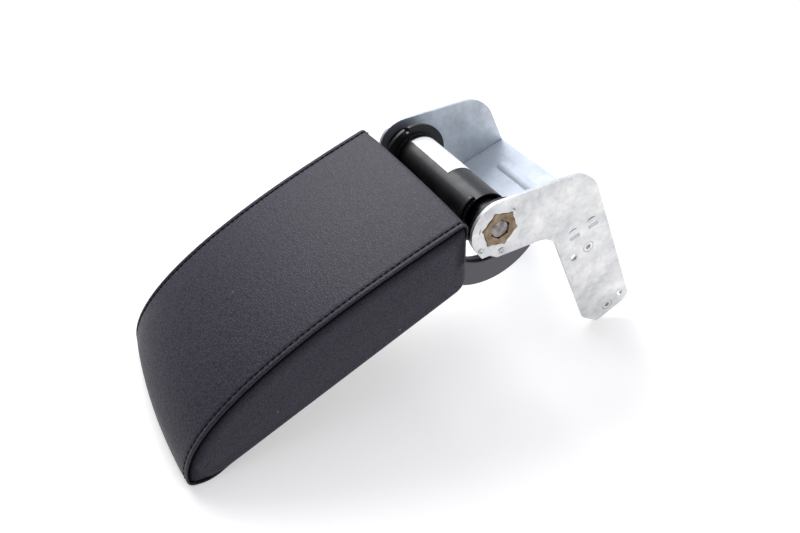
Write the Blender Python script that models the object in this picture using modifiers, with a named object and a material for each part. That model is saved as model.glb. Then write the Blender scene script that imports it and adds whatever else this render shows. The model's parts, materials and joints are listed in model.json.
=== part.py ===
"""Center console armrest: a leather covered lid on a friction hinge in a bolted steel bracket.

Two frames share the hinge axis, which runs along Y. In the bracket frame the legs point straight
down. In the lid frame the underside of the lid is level. Both lean together by the angle at which
the nose of the lid and the feet of the bracket stand on the floor. Lengths are in metres.
"""

import math

import bmesh
import bpy

NAME = "center_console_armrest"

# Clearance between pieces that meet, and round moving ones
GAP = 0.0003
ROUND_STEPS = 40
SMALL_STEPS = 12
HOLE_STEPS = 18
CORNER_STEPS = 4
BEND_STEPS = 9
CURVE_STEPS = 10
WAVE_STEPS = 12
WELD_DISTANCE = 0.000001

# Padded lid, side view in the lid frame: X from the hinge axis, the nose towards -X
LID_WIDTH = 0.150
LID_BOTTOM = -0.0203
LID_REAR_TOP = (-0.0189, 0.0298)
LID_REAR_HANDLE = (-0.0482, 0.0329)
LID_CROWN = (-0.118, 0.0355)
LID_CROWN_HANDLE_REAR = 0.030
LID_CROWN_HANDLE_FRONT = 0.058
LID_NOSE_HANDLE = (-0.2505, 0.0285)
LID_NOSE = (-0.2626, -0.0095)
LID_REAR_BOTTOM_X = -0.0395
NOSE_ARC_SETBACK = 0.0206
NOSE_ARC_RADIUS = 0.0273
NOSE_ARC_START = -139.0
NOSE_CORNER_RADIUS = 0.003
REAR_TOP_RADIUS = 0.004
REAR_BOTTOM_RADIUS = 0.013
SIDE_EDGE_RADIUS = 0.004

# Leather cover
COVER_WALL = 0.0018
HEM_WIDTH = 0.014
MOUTH_TOP = 0.014
MOUTH_SIDE = 0.011

# Carrier and trim in the lid
CARRIER_THICKNESS = 0.003
CARRIER_CORNER = 0.008
CARRIER_SETBACK = 0.0196
TRIM_THICKNESS = 0.0022
TRIM_CLEARANCE = 0.0006
SCREW_BOSS_RADIUS = 0.0045
SCREW_BOSS_HEIGHT = 0.005
SCREW_RADIUS = 0.0017
SCREW_HOLE_RADIUS = 0.0021
SCREW_HEAD_RADIUS = 0.0036
SCREW_HEAD_HEIGHT = 0.0014
SCREW_HEAD_TAPER = 0.0007
SCREW_FRONT_X = -0.215
SCREW_MIDDLE_X = -0.140
SCREW_REAR_X = -0.062
SCREW_INSET = 0.011

# Crescent guards behind the lid
GUARD_CENTRE = (-0.0039, 0.0034)
GUARD_OUTER_RADIUS = 0.0493
GUARD_INNER_RADIUS = 0.0305
GUARD_WIDTH = 0.009
GUARD_CLEARANCE = 0.001
GUARD_TIP_ANGLE = -50.0
GUARD_ROOT_ANGLE = -152.0
GUARD_TOP_ANGLE = -166.0
GUARD_SLIT_ANGLE = -62.5
GUARD_SLIT_WIDTH = 0.0015
GUARD_SLIT_DEPTH = 0.004
GUARD_SLOT_WIDTH = 0.0035
GUARD_SLOT_DEPTH = 0.013
GUARD_SLOT_CLOSED = 18.0
GUARD_TIP_WALL = 5.0
GUARD_NEAR_WALL = 0.0016
GUARD_TONGUE_LENGTH = 0.024
GUARD_TONGUE_HEIGHT = 0.006

# Hinge tube with its welded arm plates
TUBE_RADIUS = 0.0175
TUBE_WALL = 0.0015
TUBE_INSET = 0.0183
ARM_THICKNESS = 0.003
ARM_INSET = 0.0005
ARM_TOP = 0.012
ARM_BOTTOM = -0.0066
ARM_END_X = -0.105
ARM_END_RADIUS = 0.006
WIDE_HEAD_RADIUS = 0.0255
NARROW_HEAD_RADIUS = 0.0212
NARROW_HEAD_START = 92.0
NARROW_HEAD_END = 274.0
NARROW_HEAD_CORNER = 0.0025
NARROW_HEAD_BEND = 10.0
HEAD_NOTCH_ANGLE = 84.0
HEAD_NOTCH_WIDTH = 0.003
HEAD_NOTCH_DEPTH = 0.004
ARM_FLANGE_WIDTH = 0.018
ARM_FLANGE_LENGTH = 0.043
ARM_BOLT_FRONT_X = -0.097
ARM_BOLT_REAR_X = -0.072
ARM_BOLT_INSET = 0.011
BOLT_RADIUS = 0.0027
BOLT_HOLE_RADIUS = 0.0031
BOLT_HEAD_RADIUS = 0.0048
BOLT_HEAD_HEIGHT = 0.003
BOLT_HEAD_TAPER = 0.0007
BOLT_BOSS_RADIUS = 0.0062

# Blank label on the tube
LABEL_THICKNESS = 0.0002
LABEL_GAP = 0.0001
LABEL_INSET = 0.009
LABEL_LENGTH = 0.053
LABEL_START_ANGLE = 10.0
LABEL_END_ANGLE = 89.0

# Bearing parts on the hinge axis
SHAFT_RADIUS = 0.0064
SHAFT_RECESS = 0.0008
DRUM_FLANGE_RADIUS = 0.0218
DRUM_FLANGE_THICKNESS = 0.0025
FAR_FLANGE_RIM = 0.0015
DRUM_CLEARANCE = 0.0003
DRUM_PAST_SLEEVE = 0.0005
DRUM_WALL = 0.0022
DRUM_FLOOR = 0.004
PIN_RADIUS = 0.0016
PIN_CIRCLE_RADIUS = 0.0194
PIN_ANGLES = (200.0, 253.0)
SLEEVE_WALL = 0.0019
SLEEVE_LENGTH = 0.011
SLEEVE_RECESS = 0.009
SPRING_WIRE_RADIUS = 0.0013
SPRING_TURNS = 6
SPRING_PITCH = 0.0036
SPRING_STEPS = 12
SPRING_TAIL = 0.004
RIM_ANGLE = 60.0
SHARP_ANGLE = 35.0

# Six lobed hubs
HUB_TIP_RADIUS = 0.0144
HUB_ROOT_RADIUS = 0.0122
HUB_LOBES = 6
HUB_LOBE_ANGLE = 25.0
HUB_LOBE_SHARPNESS = 6
HUB_PROUD = 0.0006
BORE_NOTCH_DEPTH = 0.0010
BORE_NOTCHES = 6
BORE_NOTCH_SHARPNESS = 4

# Bracket cheeks, side view in the bracket frame
BRACKET_INSET = 0.0067
SHEET = 0.0025
CHEEK_SLOPE = 22.9
CHEEK_ABOVE = 0.0223
CHEEK_BELOW = 0.0235
CHEEK_END_ANGLE = 190.0
CHEEK_TIP = (-0.0203, -0.0129)
CHEEK_NOTCH = (-0.0146, -0.0151)
CHEEK_NOTCH_END_X = -0.0102
CHEEK_TIP_RADIUS = 0.0012
CHEEK_NOTCH_RADIUS = 0.0015
LEG_FRONT_X = 0.0332
LEG_WIDTH = 0.0453
FOOT_Z = -0.1660
FOOT_CUT_LENGTH = 0.0105
FOOT_CUT_HEIGHT = 0.0165
FOOT_CUT_RADIUS = 0.0015
FOOT_FRONT_RADIUS = 0.005
FOOT_REAR_RADIUS = 0.009
CHEEK_INNER_RADIUS = 0.019
CHEEK_OUTER_RADIUS = 0.030
HOLE_RADIUS = 0.0030
NUT_X = 0.057
NUT_UPPER_Z = -0.0766
NUT_LOWER_Z = -0.1563
HOLE_PITCH = 0.0138
FOOT_HOLE_RISE = 0.0023
NUT_SHANK_RADIUS = 0.0045
NUT_COLLAR_RADIUS = 0.0065
NUT_COLLAR_HEIGHT = 0.0035
NUT_BORE_RADIUS = 0.0020

# Web plate between the cheeks
WEB_REAR_Z = -0.0589
WEB_SLOPE = 6.15
WEB_DEPTH = 0.042
TAB_WIDTH = 0.0075
TAB_REAR = 0.0125
TAB_PITCH = 0.0167
BEAD_RADIUS = 0.0062
BEAD_HEIGHT = 0.0025
BEAD_INSET = 0.0253
BEAD_FROM_REAR = 0.020

# Angle by which the lid stands above square to the legs
LID_REST_ANGLE = 0.7


def start_scene():
    for item in list(bpy.data.objects):
        bpy.data.objects.remove(item, do_unlink=True)
    parts = bpy.data.collections.new(NAME)
    cutters = bpy.data.collections.new(NAME + "_cutters")
    bpy.context.scene.collection.children.link(parts)
    bpy.context.scene.collection.children.link(cutters)
    return parts, cutters


PARTS, CUTTERS = start_scene()


def material(name, colour, roughness, metallic):
    surface = bpy.data.materials.new(name)
    surface.use_nodes = True
    shader = surface.node_tree.nodes["Principled BSDF"]
    shader.inputs["Base Color"].default_value = (*colour, 1.0)
    shader.inputs["Roughness"].default_value = roughness
    shader.inputs["Metallic"].default_value = metallic
    surface.diffuse_color = (*colour, 1.0)
    return surface


LEATHER = material("leather", (0.045, 0.044, 0.052), 0.5, 0.0)
FOAM = material("foam", (0.75, 0.68, 0.45), 0.9, 0.0)
BLACK_PLASTIC = material("black_plastic", (0.03, 0.03, 0.032), 0.55, 0.0)
GREY_PLASTIC = material("grey_plastic", (0.11, 0.105, 0.12), 0.6, 0.0)
BLACK_STEEL = material("black_steel", (0.012, 0.012, 0.013), 0.3, 0.4)
ZINC_STEEL = material("zinc_steel", (0.62, 0.65, 0.68), 0.4, 0.9)
SPRING_STEEL = material("spring_steel", (0.2, 0.2, 0.21), 0.35, 1.0)
SINTERED_HUB = material("sintered_hub", (0.30, 0.20, 0.11), 0.55, 0.6)
LABEL_PAPER = material("label_paper", (0.9, 0.9, 0.9), 0.6, 0.0)


def polar(centre, radius, degrees):
    angle = math.radians(degrees)
    return (centre[0] + radius * math.cos(angle), centre[1] + radius * math.sin(angle))


def arc(centre, radius, start, end, steps):
    return [polar(centre, radius, start + (end - start) * i / steps) for i in range(steps + 1)]


def circle(centre, radius, steps=SMALL_STEPS):
    return arc(centre, radius, 0.0, 360.0, steps)[:-1]


def rectangle(centre, length, width, degrees):
    """Four corners of a rectangle whose length lies at an angle."""
    along = polar((0.0, 0.0), length / 2, degrees)
    across = polar((0.0, 0.0), width / 2, degrees + 90.0)
    signs = ((1, 1), (-1, 1), (-1, -1), (1, -1))
    return [tuple(centre[k] + a * along[k] + b * across[k] for k in (0, 1)) for a, b in signs]


def bezier(start, leave, arrive, end, steps):
    points = []
    for i in range(steps + 1):
        t = i / steps
        weights = ((1 - t) ** 3, 3 * (1 - t) ** 2 * t, 3 * (1 - t) * t * t, t ** 3)
        pairs = list(zip(weights, (start, leave, arrive, end)))
        points.append((sum(w * p[0] for w, p in pairs), sum(w * p[1] for w, p in pairs)))
    return points


def unit(start, end):
    length = math.dist(start, end)
    return ((end[0] - start[0]) / length, (end[1] - start[1]) / length)


def rounded(outline, steps=CORNER_STEPS):
    """Replace each corner (x, z, radius) of a closed outline by an arc of that radius."""
    points = []
    for i, (x, z, radius) in enumerate(outline):
        if radius == 0:
            points.append((x, z))
            continue
        before = unit((x, z), outline[i - 1][:2])
        after = unit((x, z), outline[(i + 1) % len(outline)][:2])
        half = math.acos(before[0] * after[0] + before[1] * after[1]) / 2
        middle = unit((0, 0), (before[0] + after[0], before[1] + after[1]))
        reach = radius / math.sin(half)
        centre = (x + middle[0] * reach, z + middle[1] * reach)
        touch = radius / math.tan(half)
        ends = [(x + side[0] * touch, z + side[1] * touch) for side in (before, after)]
        start, end = (math.degrees(math.atan2(p[1] - centre[1], p[0] - centre[0])) for p in ends)
        turn = (end - start + 180.0) % 360.0 - 180.0
        points += arc(centre, radius, start, start + turn, steps)
    return points


def inset(points, distance):
    """Move each point of an anticlockwise outline inwards by a distance."""
    moved = []
    for i, point in enumerate(points):
        ahead = unit(points[i - 1], points[(i + 1) % len(points)])
        moved.append((point[0] - ahead[1] * distance, point[1] + ahead[0] * distance))
    return moved


def turned_by(point, degrees):
    """Turn a point of the side view anticlockwise about the hinge axis."""
    c = math.cos(math.radians(degrees))
    s = math.sin(math.radians(degrees))
    return (point[0] * c - point[1] * s, point[0] * s + point[1] * c)


def lid_outline():
    """Side view of the lid, anticlockwise from the rear top corner."""
    crown_rear = (LID_CROWN[0] + LID_CROWN_HANDLE_REAR, LID_CROWN[1])
    crown_front = (LID_CROWN[0] - LID_CROWN_HANDLE_FRONT, LID_CROWN[1])
    top = bezier(LID_REAR_TOP, LID_REAR_HANDLE, crown_rear, LID_CROWN, CURVE_STEPS)
    nose = bezier(LID_CROWN, crown_front, LID_NOSE_HANDLE, LID_NOSE, CURVE_STEPS)
    centre = (NOSE_ARC_X, LID_BOTTOM + NOSE_ARC_RADIUS)
    under = arc(centre, NOSE_ARC_RADIUS, NOSE_ARC_START, -90.0, CORNER_STEPS)
    corners = [(*LID_REAR_TOP, REAR_TOP_RADIUS)]
    corners += [(*p, 0) for p in top[1:] + nose[1:-1]]
    corners.append((*nose[-1], NOSE_CORNER_RADIUS))
    corners += [(*p, 0) for p in under[1:]]
    corners.append((LID_REAR_BOTTOM_X, LID_BOTTOM, REAR_BOTTOM_RADIUS))
    return rounded(corners)


def cheek_outline():
    """Side view of a cheek, anticlockwise from the outer corner over the leg."""
    slope = math.radians(CHEEK_SLOPE)

    def edge_z(x, offset):
        return (offset - x * math.sin(slope)) / math.cos(slope)

    leg_rear = LEG_FRONT_X + LEG_WIDTH
    corners = [(leg_rear, edge_z(leg_rear, CHEEK_ABOVE), CHEEK_OUTER_RADIUS)]
    end = arc((0, 0), CHEEK_ABOVE, 90.0 - CHEEK_SLOPE, CHEEK_END_ANGLE, CURVE_STEPS)
    corners += [(*p, 0) for p in end]
    corners.append((*CHEEK_TIP, CHEEK_TIP_RADIUS))
    corners.append((*CHEEK_NOTCH, CHEEK_NOTCH_RADIUS))
    notch_end = (CHEEK_NOTCH_END_X, edge_z(CHEEK_NOTCH_END_X, -CHEEK_BELOW))
    corners.append((*notch_end, CHEEK_NOTCH_RADIUS))
    corners.append((LEG_FRONT_X, edge_z(LEG_FRONT_X, -CHEEK_BELOW), CHEEK_INNER_RADIUS))
    corners.append((LEG_FRONT_X, FOOT_Z + FOOT_CUT_HEIGHT, FOOT_CUT_RADIUS))
    corners.append((LEG_FRONT_X + FOOT_CUT_LENGTH, FOOT_Z, FOOT_FRONT_RADIUS))
    corners.append((leg_rear, FOOT_Z, FOOT_REAR_RADIUS))
    return rounded(corners, BEND_STEPS)


def foot_arc_centre():
    """Centre of the rounding between a leg's front cut and its foot."""
    half = (math.pi - math.atan2(FOOT_CUT_HEIGHT, FOOT_CUT_LENGTH)) / 2
    touch = FOOT_FRONT_RADIUS / math.tan(half)
    return (LEG_FRONT_X + FOOT_CUT_LENGTH + touch, FOOT_Z + FOOT_FRONT_RADIUS)


def lean_angle():
    """Lean of the bracket at which the nose arc and the front foot arcs touch one level floor."""
    nose = turned_by((NOSE_ARC_X, LID_BOTTOM + NOSE_ARC_RADIUS), -LID_REST_ANGLE)
    foot = foot_arc_centre()
    span = math.dist(nose, foot)
    heading = math.atan2(nose[1] - foot[1], nose[0] - foot[0])
    share = (NOSE_ARC_RADIUS - FOOT_FRONT_RADIUS) / span
    return math.degrees(math.pi - math.asin(share) - heading) % 360.0


def hinge_place(lean):
    """Hinge axis with the floor at Z 0 and the middle of the whole length at X 0."""
    foot = turned_by(foot_arc_centre(), lean)
    lid_x = [turned_by(p, lean - LID_REST_ANGLE)[0] for p in lid_outline()]
    cheek_x = [turned_by(p, lean)[0] for p in cheek_outline()]
    middle = (min(lid_x + cheek_x) + max(lid_x + cheek_x)) / 2
    return (-middle, 0.0, FOOT_FRONT_RADIUS - foot[1])


def frame(name, place, lean):
    empty = bpy.data.objects.new(name, None)
    empty.location = place
    empty.rotation_euler = (0.0, -math.radians(lean), 0.0)
    empty.empty_display_size = LID_WIDTH / 2
    PARTS.objects.link(empty)
    return empty


# Places that follow from the tip of the lid's nose
NOSE_ARC_X = LID_NOSE[0] + NOSE_ARC_SETBACK
CARRIER_FRONT_X = LID_NOSE[0] + CARRIER_SETBACK

# Frames of the two bodies, set down on the floor
LEAN = lean_angle()
HINGE = hinge_place(LEAN)
BRACKET_FRAME = frame("bracket_frame", HINGE, LEAN)
LID_FRAME = frame("lid_frame", HINGE, LEAN - LID_REST_ANGLE)
SIDE_ON = (math.pi / 2, 0.0, 0.0)
LEVEL = (0.0, 0.0, 0.0)
ON_AXIS = (-math.pi / 2, 0.0, 0.0)


def add_object(name, mesh, place, turn, parent, surface):
    body = bpy.data.objects.new(name, mesh)
    body.parent = parent
    body.location = place
    body.rotation_euler = turn
    mesh.materials.clear()
    mesh.materials.append(surface)
    PARTS.objects.link(body)
    bpy.context.view_layer.update()
    return body


def smooth(body):
    body.data.shade_smooth()
    body.data.set_sharp_from_angle(angle=math.radians(SHARP_ANGLE))


def evaluated_mesh(body):
    """The welded mesh that an object's curve or modifiers make, with its faces pointing out."""
    bpy.context.view_layer.update()
    evaluated = body.evaluated_get(bpy.context.evaluated_depsgraph_get())
    mesh = bpy.data.meshes.new_from_object(evaluated)
    shell = bmesh.new()
    shell.from_mesh(mesh)
    bmesh.ops.remove_doubles(shell, verts=shell.verts, dist=WELD_DISTANCE)
    bmesh.ops.recalc_face_normals(shell, faces=shell.faces)
    shell.to_mesh(mesh)
    shell.free()
    return mesh


def plate(name, outlines, thickness, place, turn, parent, surface):
    """A flat outline with its holes, extruded evenly to both sides of its place."""
    shape = bpy.data.curves.new(name, "CURVE")
    shape.dimensions = "2D"
    shape.fill_mode = "BOTH"
    shape.extrude = thickness / 2
    for outline in outlines:
        spline = shape.splines.new("POLY")
        spline.points.add(len(outline) - 1)
        for point, (x, y) in zip(spline.points, outline):
            point.co = (x, y, 0.0, 1.0)
        spline.use_cyclic_u = True
    drawing = bpy.data.objects.new(name + "_outline", shape)
    PARTS.objects.link(drawing)
    mesh = evaluated_mesh(drawing)
    bpy.data.objects.remove(drawing, do_unlink=True)
    mesh.name = name
    body = add_object(name, mesh, place, turn, parent, surface)
    smooth(body)
    return body


def box(name, low, high, parent, surface):
    shell = bmesh.new()
    bmesh.ops.create_cube(shell, size=1.0)
    for vertex in shell.verts:
        for k in range(3):
            vertex.co[k] *= high[k] - low[k]
    mesh = bpy.data.meshes.new(name)
    shell.to_mesh(mesh)
    shell.free()
    place = tuple((low[k] + high[k]) / 2 for k in range(3))
    return add_object(name, mesh, place, LEVEL, parent, surface)


def turned(name, profile, closed, place, turn, parent, surface, steps=ROUND_STEPS):
    """A turned body: (radius, height) points, top to bottom down the outer side."""
    mesh = bpy.data.meshes.new(name)
    edges = [(i, i + 1) for i in range(len(profile) - 1)]
    if closed:
        edges.append((len(profile) - 1, 0))
    mesh.from_pydata([(radius, 0.0, height) for radius, height in profile], edges, [])
    body = add_object(name, mesh, place, turn, parent, surface)
    screw = body.modifiers.new("turn", "SCREW")
    screw.axis = "Z"
    screw.steps = steps
    screw.render_steps = steps
    screw.use_merge_vertices = True
    screw.merge_threshold = WELD_DISTANCE
    body.data = evaluated_mesh(body)
    body.modifiers.clear()
    smooth(body)
    return body


def cylinder(name, radius, bottom, top, place, turn, parent, surface):
    profile = [(0.0, top), (radius, top), (radius, bottom), (0.0, bottom)]
    return turned(name, profile, False, place, turn, parent, surface, SMALL_STEPS)


def combine(target, tool, operation, solver):
    """Cut a tool from a body or join it on. The tool stays in the scene as a guide."""
    tool.display_type = "WIRE"
    tool.hide_render = True
    PARTS.objects.unlink(tool)
    CUTTERS.objects.link(tool)
    step = target.modifiers.new(tool.name, "BOOLEAN")
    step.operation = operation
    step.solver = solver
    step.object = tool


def cut(target, tool, solver="EXACT"):
    combine(target, tool, "DIFFERENCE", solver)


def join(target, tool, solver="EXACT"):
    combine(target, tool, "UNION", solver)


def soft_edges(body, radius):
    """Round the two long rims of a side-on plate, where its faces meet squarely."""
    bevel = body.modifiers.new("rims", "BEVEL")
    bevel.width = radius
    bevel.segments = 2
    bevel.limit_method = "ANGLE"
    bevel.angle_limit = math.radians(RIM_ANGLE)
    bevel.use_clamp_overlap = True


# Widths that follow from the lid's: the bracket, what stands against its inner faces, the tube
BRACKET_WIDTH = LID_WIDTH - 2 * BRACKET_INSET
INNER_FACE_Y = BRACKET_WIDTH / 2 - SHEET - GAP
TUBE_HALF = BRACKET_WIDTH / 2 - TUBE_INSET
ARM_SIDE = TUBE_HALF - ARM_INSET
SLEEVE_START_Y = TUBE_HALF - SLEEVE_RECESS
SLEEVE_END_Y = SLEEVE_START_Y - SLEEVE_LENGTH
DRUM_LENGTH = INNER_FACE_Y - SLEEVE_END_Y + DRUM_PAST_SLEEVE
GUARD_SIDE = INNER_FACE_Y - DRUM_FLANGE_THICKNESS - GUARD_CLEARANCE
GUARD_MIDDLE_Y = GUARD_SIDE - GUARD_WIDTH / 2
LABEL_END_Y = TUBE_HALF - LABEL_INSET

# Radii that follow from the tube's: the sleeves inside it and the drums inside them
SLEEVE_RADIUS = TUBE_RADIUS - TUBE_WALL - GAP
DRUM_RADIUS = SLEEVE_RADIUS - SLEEVE_WALL - DRUM_CLEARANCE

# Heights in the lid, from the leather underside up
CARRIER_BOTTOM = LID_BOTTOM + COVER_WALL + GAP
CARRIER_TOP = CARRIER_BOTTOM + CARRIER_THICKNESS
TRIM_TOP = CARRIER_BOTTOM - GAP
TRIM_BOTTOM = TRIM_TOP - TRIM_THICKNESS
LID_HALF = LID_WIDTH / 2
OPENING_HALF = LID_HALF - HEM_WIDTH
MOUTH_HALF = LID_HALF - MOUTH_SIDE
GUARD_ROOT_X = polar(GUARD_CENTRE, GUARD_OUTER_RADIUS, GUARD_ROOT_ANGLE)[0]
CARRIER_REAR_X = GUARD_ROOT_X - GAP
FAR = LID_WIDTH


def screw_places():
    """Trim screws as (x, y) in the lid frame. The rear pair also holds the guards."""
    side_y = OPENING_HALF - SCREW_INSET
    places = [(x, y) for x in (SCREW_FRONT_X, SCREW_MIDDLE_X) for y in (-side_y, side_y)]
    return places, [(SCREW_REAR_X, -GUARD_MIDDLE_Y), (SCREW_REAR_X, GUARD_MIDDLE_Y)]


def arm_bolt_places():
    y = ARM_SIDE - ARM_BOLT_INSET
    return [(x, side * y) for side in (-1, 1) for x in (ARM_BOLT_FRONT_X, ARM_BOLT_REAR_X)]


def lid_shape(name, distance, surface):
    """The lid's solid form, drawn in by a distance on every side."""
    width = LID_WIDTH - 2 * distance
    outline = inset(lid_outline(), distance)
    body = plate(name, [outline], width, (0, 0, 0), SIDE_ON, LID_FRAME, surface)
    soft_edges(body, SIDE_EDGE_RADIUS - distance)
    return body


def lid_mouth(name, margin):
    """The opening in the lid's rear, where arms and guards come out."""
    half = MOUTH_HALF + margin
    low = (CARRIER_REAR_X - margin, -half, -FAR)
    return box(name, low, (FAR, half, MOUTH_TOP + margin), LID_FRAME, LEATHER)


def leather_cover():
    cover = lid_shape("leather_cover", 0.0, LEATHER)
    cut(cover, lid_shape("cover_hollow", COVER_WALL, LEATHER))
    front_x = NOSE_ARC_X + HEM_WIDTH
    low = (front_x, -OPENING_HALF, -FAR)
    high = (FAR, OPENING_HALF, LID_BOTTOM + COVER_WALL + GAP)
    cut(cover, box("cover_opening", low, high, LID_FRAME, LEATHER))
    cut(cover, lid_mouth("cover_mouth", 0.0))


def foam_core():
    core = lid_shape("foam_core", COVER_WALL + GAP, FOAM)
    high = (FAR, FAR, CARRIER_TOP + GAP)
    cut(core, box("foam_floor", (-2 * FAR, -FAR, -FAR), high, LID_FRAME, FOAM))
    cut(core, lid_mouth("foam_mouth", 2 * GAP))
    for side in (-1, 1):
        ends = sorted((side * (ARM_SIDE + 2 * GAP), side * (ARM_SIDE - ARM_FLANGE_WIDTH - 2 * GAP)))
        low = (ARM_END_X - 2 * GAP, ends[0], -FAR)
        pocket = box(f"foam_arm_pocket_{side}", low, (FAR, ends[1], ARM_TOP + 2 * GAP), LID_FRAME, FOAM)
        cut(core, pocket)
        ends = sorted((side * (GUARD_SIDE + GAP), side * (GUARD_SIDE - GUARD_WIDTH - GAP)))
        low = (GUARD_ROOT_X - GUARD_TONGUE_LENGTH - 2 * GAP, ends[0], -FAR)
        top = CARRIER_TOP + GUARD_TONGUE_HEIGHT + 2 * GAP
        cut(core, box(f"foam_guard_pocket_{side}", low, (FAR, ends[1], top), LID_FRAME, FOAM))
    for i, (x, y) in enumerate(screw_places()[0]):
        top = CARRIER_TOP + SCREW_BOSS_HEIGHT + 2 * GAP
        radius = SCREW_BOSS_RADIUS + GAP
        cut(core, cylinder(f"foam_hole_{i}", radius, -FAR, top, (x, y, 0), LEVEL, LID_FRAME, FOAM))


def carrier_boss(name, place, bore, radius, top):
    """A ring on the carrier round one of its holes, a little wider inside than the hole."""
    bottom = CARRIER_TOP - CARRIER_THICKNESS / 2
    inner = bore + GAP
    profile = [(radius, top), (radius, bottom), (inner, bottom), (inner, top)]
    return turned(name, profile, True, (*place, 0), LEVEL, LID_FRAME, BLACK_PLASTIC, SMALL_STEPS)


def carrier_plate():
    half = LID_HALF - COVER_WALL - GAP - SIDE_EDGE_RADIUS / 2
    rear_x, front_x = CARRIER_REAR_X, CARRIER_FRONT_X
    corners = [(rear_x, -half), (rear_x, half), (front_x, half), (front_x, -half)]
    plain, rear = screw_places()
    outlines = [rounded([(*p, CARRIER_CORNER) for p in corners])]
    outlines += [circle(p, SCREW_HOLE_RADIUS) for p in plain + rear]
    outlines += [circle(p, BOLT_HOLE_RADIUS) for p in arm_bolt_places()]
    middle = (0, 0, CARRIER_BOTTOM + CARRIER_THICKNESS / 2)
    thickness = CARRIER_THICKNESS
    body = plate("carrier_plate", outlines, thickness, middle, LEVEL, LID_FRAME, BLACK_PLASTIC)
    top = CARRIER_TOP + SCREW_BOSS_HEIGHT
    for i, place in enumerate(plain):
        name = f"screw_boss_{i}"
        join(body, carrier_boss(name, place, SCREW_HOLE_RADIUS, SCREW_BOSS_RADIUS, top))
    top = ARM_BOTTOM - GAP
    for i, place in enumerate(arm_bolt_places()):
        name = f"bolt_boss_{i}"
        join(body, carrier_boss(name, place, BOLT_HOLE_RADIUS, BOLT_BOSS_RADIUS, top))


def underside_trim():
    half = OPENING_HALF - TRIM_CLEARANCE
    rear_x, front_x = CARRIER_REAR_X, NOSE_ARC_X + HEM_WIDTH + TRIM_CLEARANCE
    corners = [(rear_x, -half), (rear_x, half), (front_x, half), (front_x, -half)]
    plain, rear = screw_places()
    outlines = [corners] + [circle(p, SCREW_HOLE_RADIUS) for p in plain + rear]
    middle = (0, 0, (TRIM_TOP + TRIM_BOTTOM) / 2)
    plate("underside_trim", outlines, TRIM_THICKNESS, middle, LEVEL, LID_FRAME, BLACK_PLASTIC)


def trim_screw(number, place, tip):
    head_top = TRIM_BOTTOM - GAP
    head_bottom = head_top - SCREW_HEAD_HEIGHT
    profile = [
        (0.0, tip),
        (SCREW_RADIUS, tip),
        (SCREW_RADIUS, head_top),
        (SCREW_HEAD_RADIUS, head_top),
        (SCREW_HEAD_RADIUS - SCREW_HEAD_TAPER, head_bottom),
        (0.0, head_bottom),
    ]
    name = f"trim_screw_{number}"
    turned(name, profile, False, (*place, 0), LEVEL, LID_FRAME, BLACK_STEEL, SMALL_STEPS)


def trim_screws():
    plain, rear = screw_places()
    for i, place in enumerate(plain):
        trim_screw(i + 1, place, CARRIER_TOP + SCREW_BOSS_HEIGHT - GAP)
    for i, place in enumerate(rear):
        trim_screw(len(plain) + i + 1, place, CARRIER_TOP + GUARD_TONGUE_HEIGHT / 2)


def guard_outline():
    """Crescent round the hinge, with its root and tongue in the lid's mouth."""
    slit = math.degrees(GUARD_SLIT_WIDTH / GUARD_OUTER_RADIUS) / 2
    slit_end = GUARD_OUTER_RADIUS - GUARD_SLIT_DEPTH
    before, after = GUARD_SLIT_ANGLE - slit, GUARD_SLIT_ANGLE + slit
    steps = ROUND_STEPS // 2
    points = arc(GUARD_CENTRE, GUARD_OUTER_RADIUS, GUARD_ROOT_ANGLE, before, steps)
    points.append(polar(GUARD_CENTRE, slit_end, before))
    points.append(polar(GUARD_CENTRE, slit_end, after))
    points += arc(GUARD_CENTRE, GUARD_OUTER_RADIUS, after, GUARD_TIP_ANGLE, CORNER_STEPS)
    points += arc(GUARD_CENTRE, GUARD_INNER_RADIUS, GUARD_TIP_ANGLE, GUARD_TOP_ANGLE, steps)
    tongue_bottom = CARRIER_TOP + GAP
    tongue_top = CARRIER_TOP + GUARD_TONGUE_HEIGHT
    points.append((GUARD_ROOT_X, points[-1][1]))
    points.append((GUARD_ROOT_X, tongue_top))
    points.append((GUARD_ROOT_X - GUARD_TONGUE_LENGTH, tongue_top))
    points.append((GUARD_ROOT_X - GUARD_TONGUE_LENGTH, tongue_bottom))
    points.append((GUARD_ROOT_X, tongue_bottom))
    return points


def hinge_guard(name, side):
    """A hollow crescent: thin outer wall, open channel along its top, thicker inner wall."""
    middle = (0, side * GUARD_MIDDLE_Y, 0)
    outline = guard_outline()
    body = plate(name, [outline], GUARD_WIDTH, middle, SIDE_ON, LID_FRAME, GREY_PLASTIC)
    start, end = GUARD_TIP_ANGLE - GUARD_TIP_WALL, GUARD_TOP_ANGLE + GUARD_SLOT_CLOSED
    band = arc(GUARD_CENTRE, GUARD_INNER_RADIUS + GUARD_SLOT_DEPTH, start, end, CURVE_STEPS)
    band += arc(GUARD_CENTRE, GUARD_INNER_RADIUS / 2, end, start, CURVE_STEPS)
    place = (0, side * (GUARD_SIDE - GUARD_NEAR_WALL - GUARD_SLOT_WIDTH / 2), 0)
    channel = name + "_channel"
    cut(body, plate(channel, [band], GUARD_SLOT_WIDTH, place, SIDE_ON, LID_FRAME, GREY_PLASTIC))
    place = (SCREW_REAR_X, middle[1], 0)
    top = CARRIER_TOP + GUARD_TONGUE_HEIGHT / 2 + GAP
    radius = SCREW_HOLE_RADIUS
    cut(body, cylinder(name + "_hole", radius, -FAR, top, place, LEVEL, LID_FRAME, GREY_PLASTIC))


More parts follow.
